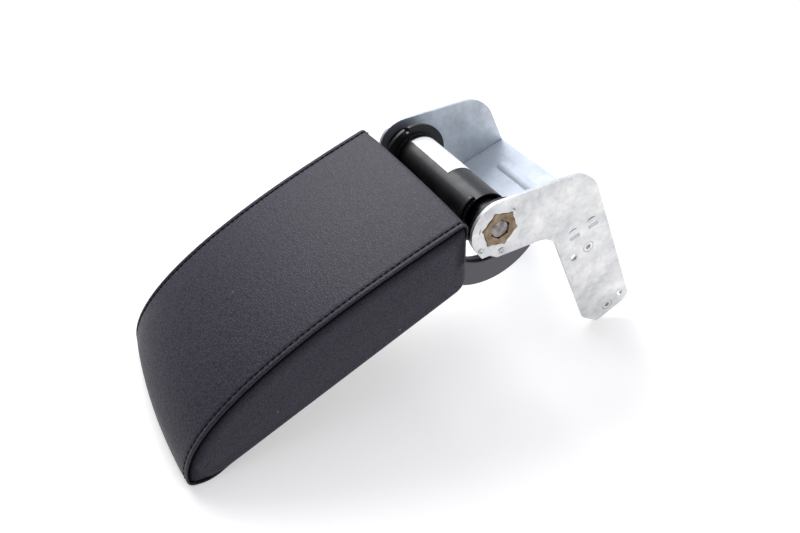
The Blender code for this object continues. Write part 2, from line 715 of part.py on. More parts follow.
def hinge_tube():
    half, inner = TUBE_HALF, TUBE_RADIUS - TUBE_WALL
    profile = [(TUBE_RADIUS, half), (TUBE_RADIUS, -half), (inner, -half), (inner, half)]
    turned("hinge_tube", profile, True, (0, 0, 0), ON_AXIS, LID_FRAME, BLACK_STEEL)


def tube_label():
    inner = TUBE_RADIUS + LABEL_GAP
    band = arc((0, 0), inner + LABEL_THICKNESS, LABEL_START_ANGLE, LABEL_END_ANGLE, CURVE_STEPS * 2)
    band += arc((0, 0), inner, LABEL_END_ANGLE, LABEL_START_ANGLE, CURVE_STEPS * 2)
    place = (0, LABEL_END_Y - LABEL_LENGTH / 2, 0)
    plate("tube_label", [band], LABEL_LENGTH, place, SIDE_ON, LID_FRAME, LABEL_PAPER)


def arm_head(radius, start, end):
    """Arc of an arm's round head between its two angles, over the top to the bottom."""
    return arc((0, 0), radius, start, end, ROUND_STEPS)


def arm_tongue(radius):
    """The straight part of an arm, from the head's top to its bottom."""
    top = (-math.sqrt(radius ** 2 - ARM_TOP ** 2), ARM_TOP)
    bottom = (-math.sqrt(radius ** 2 - ARM_BOTTOM ** 2), ARM_BOTTOM)
    end = [(ARM_END_X, ARM_TOP, ARM_END_RADIUS), (ARM_END_X, ARM_BOTTOM, 0)]
    return rounded([(*top, 0), *end, (*bottom, 0)])


def wide_arm_outline():
    """Arm with a full round head, a notch in its rim and a hole for the tube."""
    radius = WIDE_HEAD_RADIUS
    top = 180.0 - math.degrees(math.asin(ARM_TOP / radius))
    bottom = -180.0 - math.degrees(math.asin(ARM_BOTTOM / radius))
    half = math.degrees(HEAD_NOTCH_WIDTH / radius) / 2
    notch = [polar((0, 0), radius - HEAD_NOTCH_DEPTH, HEAD_NOTCH_ANGLE + k * half) for k in (-1, 1)]
    head = arm_head(radius, bottom, HEAD_NOTCH_ANGLE - half) + notch
    head += arc((0, 0), radius, HEAD_NOTCH_ANGLE + half, top, CURVE_STEPS)
    return [head + arm_tongue(radius)[1:-1], circle((0, 0), TUBE_RADIUS + GAP, ROUND_STEPS)]


def narrow_arm_outline():
    """Arm whose head is a saddle round the tube's front side."""
    radius = NARROW_HEAD_RADIUS
    top = 180.0 - math.degrees(math.asin(ARM_TOP / radius))
    bottom = 180.0 - math.degrees(math.asin(ARM_BOTTOM / radius))
    saddle = arc((0, 0), radius, NARROW_HEAD_START + NARROW_HEAD_BEND, top, CURVE_STEPS)
    saddle += arm_tongue(radius)[1:-1]
    saddle += arc((0, 0), radius, bottom, NARROW_HEAD_END, CURVE_STEPS)
    saddle += arc((0, 0), TUBE_RADIUS + GAP, NARROW_HEAD_END, NARROW_HEAD_START, ROUND_STEPS // 2)
    corner = polar((0, 0), radius, NARROW_HEAD_START)
    return [rounded([(*corner, NARROW_HEAD_CORNER)] + [(*p, 0) for p in saddle])]


def arm_plate(name, side, outlines):
    middle_y = side * (ARM_SIDE - ARM_THICKNESS / 2)
    body = plate(name, outlines, ARM_THICKNESS, (0, middle_y, 0), SIDE_ON, LID_FRAME, BLACK_STEEL)
    inner_y = ARM_SIDE - ARM_FLANGE_WIDTH
    ends = sorted((side * inner_y, side * (ARM_SIDE - ARM_THICKNESS / 2)))
    low = (ARM_END_X, ends[0], ARM_BOTTOM)
    high = (ARM_END_X + ARM_FLANGE_LENGTH, ends[1], ARM_BOTTOM + ARM_THICKNESS)
    join(body, box(name + "_flange", low, high, LID_FRAME, BLACK_STEEL))
    holes = [(x, y, 0) for x, y in arm_bolt_places() if y * side > 0]
    for i, place in enumerate(holes):
        hole = f"{name}_hole_{i}"
        radius = BOLT_HOLE_RADIUS
        cut(body, cylinder(hole, radius, -FAR, FAR, place, LEVEL, LID_FRAME, BLACK_STEEL))


def arm_bolts():
    seat = ARM_BOTTOM + ARM_THICKNESS + GAP
    profile = [
        (0.0, seat + BOLT_HEAD_HEIGHT),
        (BOLT_HEAD_RADIUS - BOLT_HEAD_TAPER, seat + BOLT_HEAD_HEIGHT),
        (BOLT_HEAD_RADIUS, seat),
        (BOLT_RADIUS, seat),
        (BOLT_RADIUS, CARRIER_BOTTOM + GAP),
        (0.0, CARRIER_BOTTOM + GAP),
    ]
    for i, place in enumerate(arm_bolt_places()):
        name = f"arm_bolt_{i + 1}"
        turned(name, profile, False, (*place, 0), LEVEL, LID_FRAME, BLACK_STEEL, SMALL_STEPS)


def sleeve(name, side):
    inner = SLEEVE_RADIUS - SLEEVE_WALL
    low, high = sorted((side * SLEEVE_START_Y, side * SLEEVE_END_Y))
    profile = [(SLEEVE_RADIUS, high), (SLEEVE_RADIUS, low), (inner, low), (inner, high)]
    turned(name, profile, True, (0, 0, 0), ON_AXIS, LID_FRAME, BLACK_PLASTIC)


def torsion_spring():
    """Lift spring wound on the shaft, with both tails turned outwards."""
    radius = SHAFT_RADIUS + 2 * GAP + SPRING_WIRE_RADIUS
    count = SPRING_TURNS * SPRING_STEPS
    length = SPRING_TURNS * SPRING_PITCH
    shape = bpy.data.curves.new("torsion_spring", "CURVE")
    shape.dimensions = "3D"
    shape.bevel_depth = SPRING_WIRE_RADIUS
    shape.bevel_resolution = 2
    shape.use_fill_caps = True
    points = []
    for i in range(count + 1):
        x, z = polar((0, 0), radius, 360.0 * i / SPRING_STEPS)
        points.append((x, length * (i / count - 0.5), z))
    points.insert(0, (radius, points[0][1], -SPRING_TAIL))
    points.append((radius, points[-1][1], SPRING_TAIL))
    spline = shape.splines.new("POLY")
    spline.points.add(len(points) - 1)
    for point, place in zip(spline.points, points):
        point.co = (*place, 1.0)
    wire = bpy.data.objects.new("torsion_spring_wire", shape)
    PARTS.objects.link(wire)
    mesh = evaluated_mesh(wire)
    bpy.data.objects.remove(wire, do_unlink=True)
    mesh.name = "torsion_spring"
    smooth(add_object("torsion_spring", mesh, (0, 0, 0), LEVEL, BRACKET_FRAME, SPRING_STEEL))


def friction_drum(name, side, flange, pin_angles):
    """Flange against the cheek, with pins staked through it and a cup into the tube."""
    bore = SHAFT_RADIUS + GAP
    cup = DRUM_RADIUS - DRUM_WALL
    steps = [
        (bore, 0.0),
        (flange, 0.0),
        (flange, DRUM_FLANGE_THICKNESS),
        (DRUM_RADIUS, DRUM_FLANGE_THICKNESS),
        (DRUM_RADIUS, DRUM_LENGTH),
        (cup, DRUM_LENGTH),
        (cup, DRUM_FLOOR),
        (bore, DRUM_FLOOR),
    ]
    profile = [(radius, side * (INNER_FACE_Y - depth)) for radius, depth in steps]
    if side < 0:
        profile.reverse()
    body = turned(name, profile, True, (0, 0, 0), ON_AXIS, BRACKET_FRAME, BLACK_STEEL)
    inner_y = INNER_FACE_Y - DRUM_FLANGE_THICKNESS / 2
    low, high = sorted((side * inner_y, side * BRACKET_WIDTH / 2))
    for i, angle in enumerate(pin_angles):
        x, z = polar((0, 0), PIN_CIRCLE_RADIUS, angle)
        place = (x, 0, z)
        pin = f"{name}_pin_{i}"
        join(body, cylinder(pin, PIN_RADIUS, low, high, place, ON_AXIS, BRACKET_FRAME, BLACK_STEEL))


def star_outline(clearance):
    """Round hub with lobes that rise and fall as a power of a cosine."""
    count = HUB_LOBES * WAVE_STEPS
    points = []
    for i in range(count):
        angle = 360.0 * i / count
        wave = 0.5 + 0.5 * math.cos(math.radians(HUB_LOBES * (angle - HUB_LOBE_ANGLE)))
        rise = (HUB_TIP_RADIUS - HUB_ROOT_RADIUS) * wave ** HUB_LOBE_SHARPNESS
        points.append(polar((0, 0), HUB_ROOT_RADIUS + rise + clearance, angle))
    return points


def bore_outline():
    """Round bore with small notches, as a splined hole has."""
    count = BORE_NOTCHES * WAVE_STEPS
    points = []
    for i in range(count):
        angle = 360.0 * i / count
        wave = 0.5 + 0.5 * math.cos(math.radians(BORE_NOTCHES * angle))
        depth = BORE_NOTCH_DEPTH * wave ** BORE_NOTCH_SHARPNESS
        points.append(polar((0, 0), SHAFT_RADIUS + GAP + depth, angle))
    return points


def star_hub(name, side):
    thickness = SHEET + HUB_PROUD
    middle_y = side * (BRACKET_WIDTH / 2 + HUB_PROUD - thickness / 2)
    outlines = [star_outline(0.0), bore_outline()]
    plate(name, outlines, thickness, (0, middle_y, 0), SIDE_ON, BRACKET_FRAME, SINTERED_HUB)


def hinge_shaft():
    half = BRACKET_WIDTH / 2 + HUB_PROUD - SHAFT_RECESS
    profile = [(0.0, half), (SHAFT_RADIUS, half), (SHAFT_RADIUS, -half), (0.0, -half)]
    turned("hinge_shaft", profile, False, (0, 0, 0), ON_AXIS, BRACKET_FRAME, SPRING_STEEL)


def nut_places():
    return [(NUT_X, NUT_UPPER_Z), (NUT_X, NUT_LOWER_Z)]


def web_point(distance, height):
    """Point of the web's section: a distance forward of its rear edge, a height over its top."""
    top = polar((LEG_FRONT_X + LEG_WIDTH, WEB_REAR_Z), distance, 180.0 - WEB_SLOPE)
    return polar(top, height, 90.0 - WEB_SLOPE)


def tab_distances():
    return (TAB_REAR, TAB_REAR + TAB_PITCH)


def cheek(name, side, pin_angles):
    """L-shaped side plate with the hub's hole, pin holes, tab slots and the leg's holes."""
    holes = [star_outline(GAP)]
    pins = [polar((0, 0), PIN_CIRCLE_RADIUS, angle) for angle in pin_angles]
    holes += [circle(p, PIN_RADIUS + GAP) for p in pins]
    for distance in tab_distances():
        middle = web_point(distance, -SHEET / 2)
        holes.append(rectangle(middle, TAB_WIDTH + 2 * GAP, SHEET + 2 * GAP, -WEB_SLOPE))
    holes += [circle(p, NUT_SHANK_RADIUS + GAP, HOLE_STEPS) for p in nut_places()]
    plain = [(NUT_X - HOLE_PITCH, NUT_UPPER_Z), (NUT_X + HOLE_PITCH, NUT_LOWER_Z + FOOT_HOLE_RISE)]
    holes += [circle(p, HOLE_RADIUS, HOLE_STEPS) for p in plain]
    middle_y = side * (BRACKET_WIDTH / 2 - SHEET / 2)
    outlines = [cheek_outline()] + holes
    plate(name, outlines, SHEET, (0, middle_y, 0), SIDE_ON, BRACKET_FRAME, ZINC_STEEL)


def web_outline():
    """The web flat, from its rear edge towards -X, with two tabs at each end."""
    body_half, tab_half = INNER_FACE_Y, BRACKET_WIDTH / 2
    right = [(0.0, body_half)]
    for distance in tab_distances():
        near = -distance + TAB_WIDTH / 2
        far = -distance - TAB_WIDTH / 2
        right += [(near, body_half), (near, tab_half), (far, tab_half), (far, body_half)]
    right.append((-WEB_DEPTH, body_half))
    left = [(x, -y) for x, y in reversed(right)]
    return right + left


def bead_form(name, radius, place, turn):
    """A bar with round ends along Y, used to press the bead."""
    straight = BRACKET_WIDTH / 2 - BEAD_INSET - BEAD_RADIUS
    upper = [(x, y + straight) for y, x in arc((0, 0), radius, 0.0, 90.0, CORNER_STEPS)]
    lower = [(x, -y) for x, y in reversed(upper)]
    profile = [(abs(x), y) for x, y in upper + lower]
    return turned(name, profile, False, place, turn, BRACKET_FRAME, ZINC_STEEL)


def web_plate():
    """Plate between the cheeks with a bead pressed up along its width."""
    slope = math.radians(WEB_SLOPE)
    x, z = web_point(0.0, -SHEET / 2)
    tilt = (0, slope, 0)
    body = plate("web_plate", [web_outline()], SHEET, (x, 0, z), tilt, BRACKET_FRAME, ZINC_STEEL)
    lean = (ON_AXIS[0], slope, 0.0)
    x, z = web_point(BEAD_FROM_REAR, BEAD_HEIGHT - BEAD_RADIUS)
    outer = bead_form("bead_outer", BEAD_RADIUS, (x, 0, z), lean)
    x, z = web_point(BEAD_FROM_REAR, -SHEET / 2)
    under = box("bead_under", (-FAR, -FAR, -FAR), (FAR, FAR, 0.0), BRACKET_FRAME, ZINC_STEEL)
    under.rotation_euler = tilt
    drop = polar((x, z), FAR / 2, -90.0 - WEB_SLOPE)
    under.location = (drop[0], 0, drop[1])
    cut(outer, under)
    join(body, outer, "MANIFOLD")
    x, z = web_point(BEAD_FROM_REAR, BEAD_HEIGHT - BEAD_RADIUS)
    cut(body, bead_form("bead_inner", BEAD_RADIUS - SHEET, (x, 0, z), lean), "MANIFOLD")


def clinch_nut(number, side, place):
    """Nut pressed in from inside: shank flush with the outer face, collar on the inner one."""
    outer, inner = BRACKET_WIDTH / 2, INNER_FACE_Y
    steps = [
        (NUT_BORE_RADIUS, outer),
        (NUT_SHANK_RADIUS, outer),
        (NUT_SHANK_RADIUS, inner),
        (NUT_COLLAR_RADIUS, inner),
        (NUT_COLLAR_RADIUS, inner - NUT_COLLAR_HEIGHT),
        (NUT_BORE_RADIUS, inner - NUT_COLLAR_HEIGHT),
    ]
    profile = [(radius, side * y) for radius, y in steps]
    if side < 0:
        profile.reverse()
    name = f"clinch_nut_{number}"
    place = (place[0], 0, place[1])
    turned(name, profile, True, place, ON_AXIS, BRACKET_FRAME, ZINC_STEEL, HOLE_STEPS)


def build_lid():
    leather_cover()
    foam_core()
    carrier_plate()
    underside_trim()
    trim_screws()
    hinge_guard("hinge_guard_left", -1)
    hinge_guard("hinge_guard_right", 1)
    hinge_tube()
    tube_label()
    arm_plate("arm_plate_left", -1, narrow_arm_outline())
    arm_plate("arm_plate_right", 1, wide_arm_outline())
    arm_bolts()
    sleeve("sleeve_left", -1)
    sleeve("sleeve_right", 1)


def build_bracket():
    cheek("cheek_left", -1, PIN_ANGLES)
    cheek("cheek_right", 1, ())
    friction_drum("friction_drum_left", -1, DRUM_FLANGE_RADIUS, PIN_ANGLES)
    friction_drum("friction_drum_right", 1, DRUM_RADIUS + FAR_FLANGE_RIM, ())
    star_hub("star_hub_left", -1)
    star_hub("star_hub_right", 1)
    web_plate()
    hinge_shaft()
    torsion_spring()
    for i, (side, place) in enumerate((s, p) for s in (-1, 1) for p in nut_places()):
        clinch_nut(i + 1, side, place)


build_lid()
build_bracket()
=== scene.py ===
"""Looks of a leather covered console armrest on its friction hinge and zinc coated bracket.

Lengths are in metres. The lid frame and the bracket frame share the hinge axis with the solids, and
a piece is drawn in its own frame before its mesh is placed.
"""

import json
import math

import bmesh
import bpy
import numpy as np
from mathutils import Matrix, Vector


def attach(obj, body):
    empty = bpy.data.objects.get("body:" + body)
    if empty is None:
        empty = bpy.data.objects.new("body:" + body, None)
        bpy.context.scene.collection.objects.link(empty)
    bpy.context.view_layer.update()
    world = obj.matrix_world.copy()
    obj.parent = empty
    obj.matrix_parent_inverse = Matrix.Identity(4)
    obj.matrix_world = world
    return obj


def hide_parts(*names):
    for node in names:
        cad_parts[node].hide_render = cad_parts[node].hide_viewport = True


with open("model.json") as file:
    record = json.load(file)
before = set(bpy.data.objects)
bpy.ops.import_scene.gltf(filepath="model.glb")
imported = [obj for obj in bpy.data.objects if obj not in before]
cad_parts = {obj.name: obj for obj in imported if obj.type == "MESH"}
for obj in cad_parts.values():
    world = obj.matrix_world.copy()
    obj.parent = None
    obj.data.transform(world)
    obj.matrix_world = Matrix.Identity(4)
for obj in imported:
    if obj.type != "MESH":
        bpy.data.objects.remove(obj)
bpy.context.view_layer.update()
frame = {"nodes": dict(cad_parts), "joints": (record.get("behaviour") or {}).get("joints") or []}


# Leather pad
# The padded lid: moulded foam on a plastic carrier, wrapped in sewn leather. The top panel folds over
# the side edges to a seam just below them, with a row of topstitching on the panel above each seam.

HINGE = Vector(frame["joints"][0]["pos_m"])
LID_LEAN = math.radians(26.149)
LID_FRAME = Matrix.Translation(HINGE) @ Matrix.Rotation(-LID_LEAN, 4, "Y")

PAD_HALF = 0.075
PAD_BOTTOM = -0.0203
PAD_REAR_TOP = (-0.0189, 0.0298)
PAD_REAR_BOTTOM_X = -0.0395
PAD_TOP_REAR = (PAD_REAR_TOP, (-0.0482, 0.0329), (-0.088, 0.0355), (-0.118, 0.0355))
PAD_TOP_FRONT = ((-0.118, 0.0355), (-0.176, 0.0355), (-0.2505, 0.0285), (-0.2626, -0.0095))
PAD_NOSE_CENTRE = (-0.242, 0.0070)
PAD_NOSE_RADIUS = 0.0273
PAD_NOSE_START = -139.0
PAD_SPINE_FRONT = -0.240
PAD_SPINE_REAR = -0.052
PAD_CROWN = 0.0012
PAD_NOSE_BOW = 0.0052
PAD_SIDE_BULGE = 0.0007
PAD_SWELL = 0.0010
PAD_WELD = 0.00012
PAD_REAR_TOP_CORNER = 0.0034
PAD_REAR_BOTTOM_CORNER = 0.013
PAD_NOSE_CORNER = 0.0016
REAR_BLEND = 0.032
NOSE_BLEND = 0.036
BOW_RISE = 0.085
BOW_CREST = 0.004
BOW_FALL = 0.006
SEAM_FADE_NOSE = (0.016, 0.010)
SEAM_FADE_REAR = (0.009, 0.001)
STITCH_INSET = 0.0047
STITCH_VALLEY = 0.0010
SEAM_DEPTH = 0.0036
# Painted shade for the seams: the seam attribute darkens the leather towards the groove colour in each
# groove, and by the fold share below it and along the stitch row.
SEAM_SHADE = "seam_shade"
GROOVE_DEPTHS = (0.0014, 0.0040)
GROOVE_REACH = 0.0050
GROOVE_SHADE_COLOUR = (0.002, 0.002, 0.003)
HIDE_COLOURS = (0.036, 0.031, 0.051), (0.048, 0.0415, 0.066)
CREASE_COLOUR = (0.015, 0.013, 0.021)
DUST_COLOUR = (0.35, 0.35, 0.36)
FOLD_SHADE = 0.45
HELD_EDGE = 0.0125
HELD_REAR = -0.030
HEM_FRONT = -0.228
HEM_HALF = 0.061
CARRIER_FRONT = -0.2434
CARRIER_REAR = -0.0482
CARRIER_HALF = 0.0712
MOUTH_HALF = 0.064
MOUTH_TOP = 0.014
ARM_POCKET_FRONT = -0.1056
ARM_POCKET_TOP = 0.0126
ARM_POCKET_SIDES = (0.0309, 0.0501)


def arc_points(centre, radius, start, end, steps):
    angles = [math.radians(start + (end - start) * i / steps) for i in range(steps + 1)]
    return [(centre[0] + radius * math.cos(a), centre[1] + radius * math.sin(a)) for a in angles]


def bezier_points(controls, steps):
    points = []
    for i in range(steps + 1):
        t = i / steps
        weights = ((1 - t) ** 3, 3 * (1 - t) ** 2 * t, 3 * (1 - t) * t * t, t ** 3)
        points.append(tuple(sum(w * p[k] for w, p in zip(weights, controls)) for k in (0, 1)))
    return points


def fillet(points, index, radius, steps=8):
    """Replace one corner of a closed outline, and the points close to it, by an arc."""
    corner = Vector(points[index])
    earlier = [p for p in points[:index] if (Vector(p) - corner).length > radius * 1.5]
    later = [p for p in points[index + 1:] if (Vector(p) - corner).length > radius * 1.5]
    before = (Vector((later + earlier)[-1]) - corner).normalized()
    after = (Vector((later + earlier)[0]) - corner).normalized()
    half = before.angle(after) / 2
    centre = corner + (before + after).normalized() * radius / math.sin(half)
    reach = radius / math.tan(half)
    ends = [corner + side * reach - centre for side in (before, after)]
    start, end = (math.degrees(math.atan2(e.y, e.x)) for e in ends)
    turn = (end - start + 180.0) % 360.0 - 180.0
    arc = arc_points(tuple(centre), radius, start, start + turn, steps)
    return earlier + arc + later


def pad_outline():
    """Side view of the pad as a fine closed outline, from the rear top corner over the nose."""
    top = bezier_points(PAD_TOP_REAR, 60) + bezier_points(PAD_TOP_FRONT, 90)[1:]
    under = arc_points(PAD_NOSE_CENTRE, PAD_NOSE_RADIUS, PAD_NOSE_START, -90.0, 24)
    outline = top + under[1:] + [(PAD_REAR_BOTTOM_X, PAD_BOTTOM)]
    outline = fillet(outline, len(outline) - 1, PAD_REAR_BOTTOM_CORNER, 14)
    outline = fillet(outline, len(top) - 1, PAD_NOSE_CORNER)
    return fillet(outline, 0, PAD_REAR_TOP_CORNER)


def pad_stations():
    """Points round the outline, each with its way inwards, a point on the spine and its length along.

    The last value is the share of the nose's bow there. Near the two sharp bends the way inwards turns
    to the spine, so that neighbours don't cross.
    """
    outline = np.array(pad_outline())
    steps = np.linalg.norm(np.roll(outline, -1, 0) - outline, axis=1)
    along = np.concatenate(([0.0], np.cumsum(steps)))
    closed = np.vstack([outline, outline[:1]])
    total = along[-1]

    def place(s):
        s = s % total
        return np.array([np.interp(s, along, closed[:, 0]), np.interp(s, along, closed[:, 1])])

    dense = np.arange(0.0, total, 0.0002)
    walk = np.array([place(s) for s in dense])
    upper = walk[:, 1] > 0.004
    inner = (walk[:, 0] < -0.046) & (walk[:, 0] > PAD_SPINE_FRONT - 0.012)
    top, bottom = upper & inner, ~upper & inner
    xs = np.linspace(PAD_SPINE_REAR, PAD_SPINE_FRONT, 64)
    top_s = np.interp(-xs, -walk[top][:, 0], dense[top])
    bottom_s = np.interp(xs[::-1], walk[bottom][:, 0], dense[bottom])
    nose_s = np.linspace(top_s[-1], bottom_s[0], 30)[1:-1]
    rear_s = np.linspace(bottom_s[-1], top_s[0] + total, 44)[1:-1]
    tip_s = dense[np.argmin(np.linalg.norm(walk - np.array(PAD_TOP_FRONT[-1]), axis=1))]
    stations = []
    for s in np.concatenate([top_s, nose_s, bottom_s, rear_s]):
        ahead = place(s + 0.0006) - place(s - 0.0006)
        ahead /= np.linalg.norm(ahead)
        normal = np.array([-ahead[1], ahead[0]])
        point = place(s)
        spine_x = min(max(point[0], PAD_SPINE_FRONT), PAD_SPINE_REAR)
        roof = np.interp(-spine_x, -walk[top][:, 0], walk[top][:, 1])
        spine = np.array([spine_x, (roof + PAD_BOTTOM) / 2])
        inward = (spine - point) / np.linalg.norm(spine - point)
        s %= total
        bend = 1.0 - smooth_step(0.001, REAR_BLEND, min(s, total - s))
        bend = max(bend, 1.0 - smooth_step(0.001, NOSE_BLEND, abs(s - tip_s)))
        normal = normal + (inward - normal) * bend
        front = smooth_step(tip_s - BOW_RISE, tip_s - BOW_CREST, s)
        front *= 1.0 - smooth_step(tip_s + BOW_FALL, nose_s[-1], s)
        stations.append((point, normal / np.linalg.norm(normal), spine, s, front))
    return stations, total, nose_s[-1]


def nose_bow(front, y):
    """Shift of the bulging nose at a place across the pad, level with the floor it rests on."""
    reach = PAD_NOSE_BOW * front * (1 - (min(abs(y), PAD_HALF) / PAD_HALF) ** 2)
    return reach * np.array([-math.cos(LID_LEAN), math.sin(LID_LEAN)])


def smooth_step(low, high, value):
    t = min(max((value - low) / (high - low), 0.0), 1.0)
    return t * t * (3 - 2 * t)


def seam_section():
    """Half section over the sewn edge as (distance from the side, distance inside the outline)."""
    valley = STITCH_INSET
    return [
        (0.0140, -0.0001), (0.0100, 0.0), (0.0075, 0.0001), (valley + 0.0014, 0.0003),
        (valley + 0.0004, STITCH_VALLEY * 0.7), (valley, STITCH_VALLEY),
        (valley - 0.0004, STITCH_VALLEY * 0.6),
        (0.0034, 0.0), (0.0020, -0.0001), (0.0010, 0.0001), (0.0004, 0.0007),
        (0.0006, 0.0014), (0.0018, 0.0018), (SEAM_DEPTH, 0.0026), (0.0024, 0.0034),
        (0.0011, 0.0040), (0.0005, 0.0050), (0.0001, 0.0068), (-0.0003, 0.0092), (-0.0002, 0.0120),
    ]


def plain_section(radius=0.0050):
    """The same number of points over a plain rounded edge."""
    count = len(seam_section())
    flat = [(0.0140, 0.0), (0.0100, 0.0), (0.0075, 0.0)]
    angles = [math.pi / 2 * i / (count - 6) for i in range(count - 5)]
    bend = [(radius * (1 - math.sin(a)), radius * (1 - math.cos(a))) for a in angles]
    return flat + bend + [(0.0, 0.0090), (0.0, 0.0120)]


def closed_mesh(name, verts, faces, weld=0.0):
    """A mesh with points within the weld distance merged and its faces turned outwards."""
    mesh = bpy.data.meshes.new(name)
    mesh.from_pydata(verts, [], faces)
    shell = bmesh.new()
    shell.from_mesh(mesh)
    if weld:
        bmesh.ops.remove_doubles(shell, verts=shell.verts, dist=weld)
    bmesh.ops.recalc_face_normals(shell, faces=shell.faces)
    shell.to_mesh(mesh)
    shell.free()
    return mesh


def pad_mesh():
    """Closed quad mesh: a section across the pad at each station, drawn in to the spine at each side."""
    stations, total, nose_end = pad_stations()
    sewn, plain = seam_section(), plain_section()
    across = [0.0, 0.012, 0.024, 0.035, 0.045, 0.053]
    verts, faces = [], []
    for point, normal, spine, s, front in stations:
        reach = 1.0 - smooth_step(nose_end - SEAM_FADE_NOSE[0], nose_end + SEAM_FADE_NOSE[1], s)
        if s > total / 2:
            reach = max(reach, smooth_step(total - SEAM_FADE_REAR[0], total - SEAM_FADE_REAR[1], s))
        top = smooth_step(0.0, 0.6, -normal[1]) if s < nose_end else 0.0
        half = []
        for y in across:
            rise = PAD_CROWN * top * (1 - (y / PAD_HALF) ** 2)
            half.append((y, *(point - normal * rise + nose_bow(front, y))))
        for (in_a, down_a), (in_b, down_b) in zip(sewn, plain):
            inwards = in_a * reach + in_b * (1 - reach)
            down = down_a * reach + down_b * (1 - reach)
            y = PAD_HALF - inwards
            half.append((y, *(point + normal * down + nose_bow(front, y))))
        edge = np.array(half[-1][1:])
        for share in (0.35, 0.7, 1.0):
            bulge = PAD_SIDE_BULGE * math.sin(math.pi / 2 * share)
            half.append((PAD_HALF + bulge, *(edge + (spine - edge) * share)))
        ring = [(x, -y, z) for y, x, z in reversed(half[1:])] + [(x, y, z) for y, x, z in half]
        verts += ring
    width = len(ring)
    for i in range(len(stations)):
        for j in range(width - 1):
            a, b = i * width + j, ((i + 1) % len(stations)) * width + j
            faces.append((a, b, b + 1, a + 1))
    return closed_mesh("leather_pad", verts, faces, PAD_WELD)


def link(name, mesh):
    body = bpy.data.objects.new(name, mesh)
    bpy.context.scene.collection.objects.link(body)
    return body


def applied(body):
    """The object with its modifiers made plain mesh."""
    bpy.context.view_layer.update()
    evaluated = body.evaluated_get(bpy.context.evaluated_depsgraph_get())
    mesh = bpy.data.meshes.new_from_object(evaluated)
    body.modifiers.clear()
    body.data = mesh
    return body


def box_mesh(low, high):
    shell = bmesh.new()
    bmesh.ops.create_cube(shell, size=1.0)
    for vertex in shell.verts:
        for k in range(3):
            vertex.co[k] = low[k] + (vertex.co[k] + 0.5) * (high[k] - low[k])
    mesh = bpy.data.meshes.new("box")
    shell.to_mesh(mesh)
    shell.free()
    return mesh


def carve(body, meshes, matrix):
    """Cut each mesh, placed by the matrix, from the body."""
    for mesh in meshes:
        tool = link("carving_tool", mesh)
        tool.matrix_world = matrix
        step = body.modifiers.new("carve", "BOOLEAN")
        step.operation = "DIFFERENCE"
        step.solver = "EXACT"
        step.object = tool
        applied(body)
        bpy.data.objects.remove(tool, do_unlink=True)


def swell(body, cap):
    """Let the sewn cover puff up between its held edges, by at most the cap."""
    start = np.array([v.co[:] for v in body.data.vertices])
    held = body.vertex_groups.new(name="held")
    for vertex in body.data.vertices:
        x, y, z = vertex.co
        side = PAD_HALF - abs(y)
        on_top = side > HELD_EDGE and z > 0.0 and x < HELD_REAR
        on_side = side < 0.0001 and z > PAD_BOTTOM + 0.012 and x < HELD_REAR - 0.010
        free = on_top or on_side
        held.add([vertex.index], 0.0 if free else 1.0, "REPLACE")
    cloth = body.modifiers.new("foam", "CLOTH")
    settings = cloth.settings
    settings.quality = 6
    settings.mass = 0.3
    settings.tension_stiffness = 40.0
    settings.compression_stiffness = 40.0
    settings.shear_stiffness = 20.0
    settings.bending_stiffness = 4.0
    settings.use_pressure = True
    settings.uniform_pressure_force = 4.0
    settings.vertex_group_mass = "held"
    settings.effector_weights.gravity = 0.0
    cloth.point_cache.frame_start = 1
    cloth.point_cache.frame_end = 20
    scene = bpy.context.scene
    for number in range(1, 21):
        scene.frame_set(number)
    applied(body)
    scene.frame_set(1)
    body.vertex_groups.clear()
    moved = np.array([v.co[:] for v in body.data.vertices]) - start
    length = np.linalg.norm(moved, axis=1, keepdims=True)
    capped = start + moved * (cap * np.tanh(length / cap) / np.maximum(length, 1e-9))
    body.data.vertices.foreach_set("co", capped.ravel())
    body.data.update()


def refine(body, levels):
    step = body.modifiers.new("refine", "SUBSURF")
    step.levels = levels
    step.render_levels = levels
    applied(body)


def pad_hollows():
    """Boxes for what the pad wraps: the carrier, the hem's opening, the mouth and the arm pockets."""
    far = 0.2
    carrier_low, carrier_top = PAD_BOTTOM + 0.0018, PAD_BOTTOM + 0.0114
    boxes = [
        box_mesh((HEM_FRONT, -HEM_HALF, -far), (far, HEM_HALF, carrier_low + 0.0003)),
        box_mesh((CARRIER_FRONT, -CARRIER_HALF, carrier_low), (CARRIER_REAR, CARRIER_HALF, carrier_top)),
        box_mesh((CARRIER_REAR, -MOUTH_HALF, -far), (far, MOUTH_HALF, MOUTH_TOP)),
    ]
    for side in (-1, 1):
        low_y, high_y = sorted(side * y for y in ARM_POCKET_SIDES)
        boxes.append(box_mesh((ARM_POCKET_FRONT, low_y, carrier_low), (far, high_y, ARM_POCKET_TOP)))
    return boxes


def place_in_mesh(body, matrix):
    body.data.transform(matrix)
    body.data.update()


def add_node(tree, kind, inputs=None, **settings):
    """Add a shader or geometry node, set its options, then feed or set its inputs by name."""
    made = tree.nodes.new(kind)
    for name, value in settings.items():
        setattr(made, name, value)
    for name, value in (inputs or {}).items():
        socket = made.inputs[name]
        if isinstance(value, bpy.types.NodeSocket):
            tree.links.new(value, socket)
        else:
            socket.default_value = value
    return made


def new_group(name, inputs, outputs):
    """A shader node group with named float, vector or colour sockets."""
    kinds = {"float": "NodeSocketFloat", "vector": "NodeSocketVector", "colour": "NodeSocketColor"}
    group = bpy.data.node_groups.new(name, "ShaderNodeTree")
    for socket, kind in inputs:
        group.interface.new_socket(name=socket, in_out="INPUT", socket_type=kinds[kind])
    for socket, kind in outputs:
        group.interface.new_socket(name=socket, in_out="OUTPUT", socket_type=kinds[kind])
    return group, group.nodes.new("NodeGroupInput"), group.nodes.new("NodeGroupOutput")


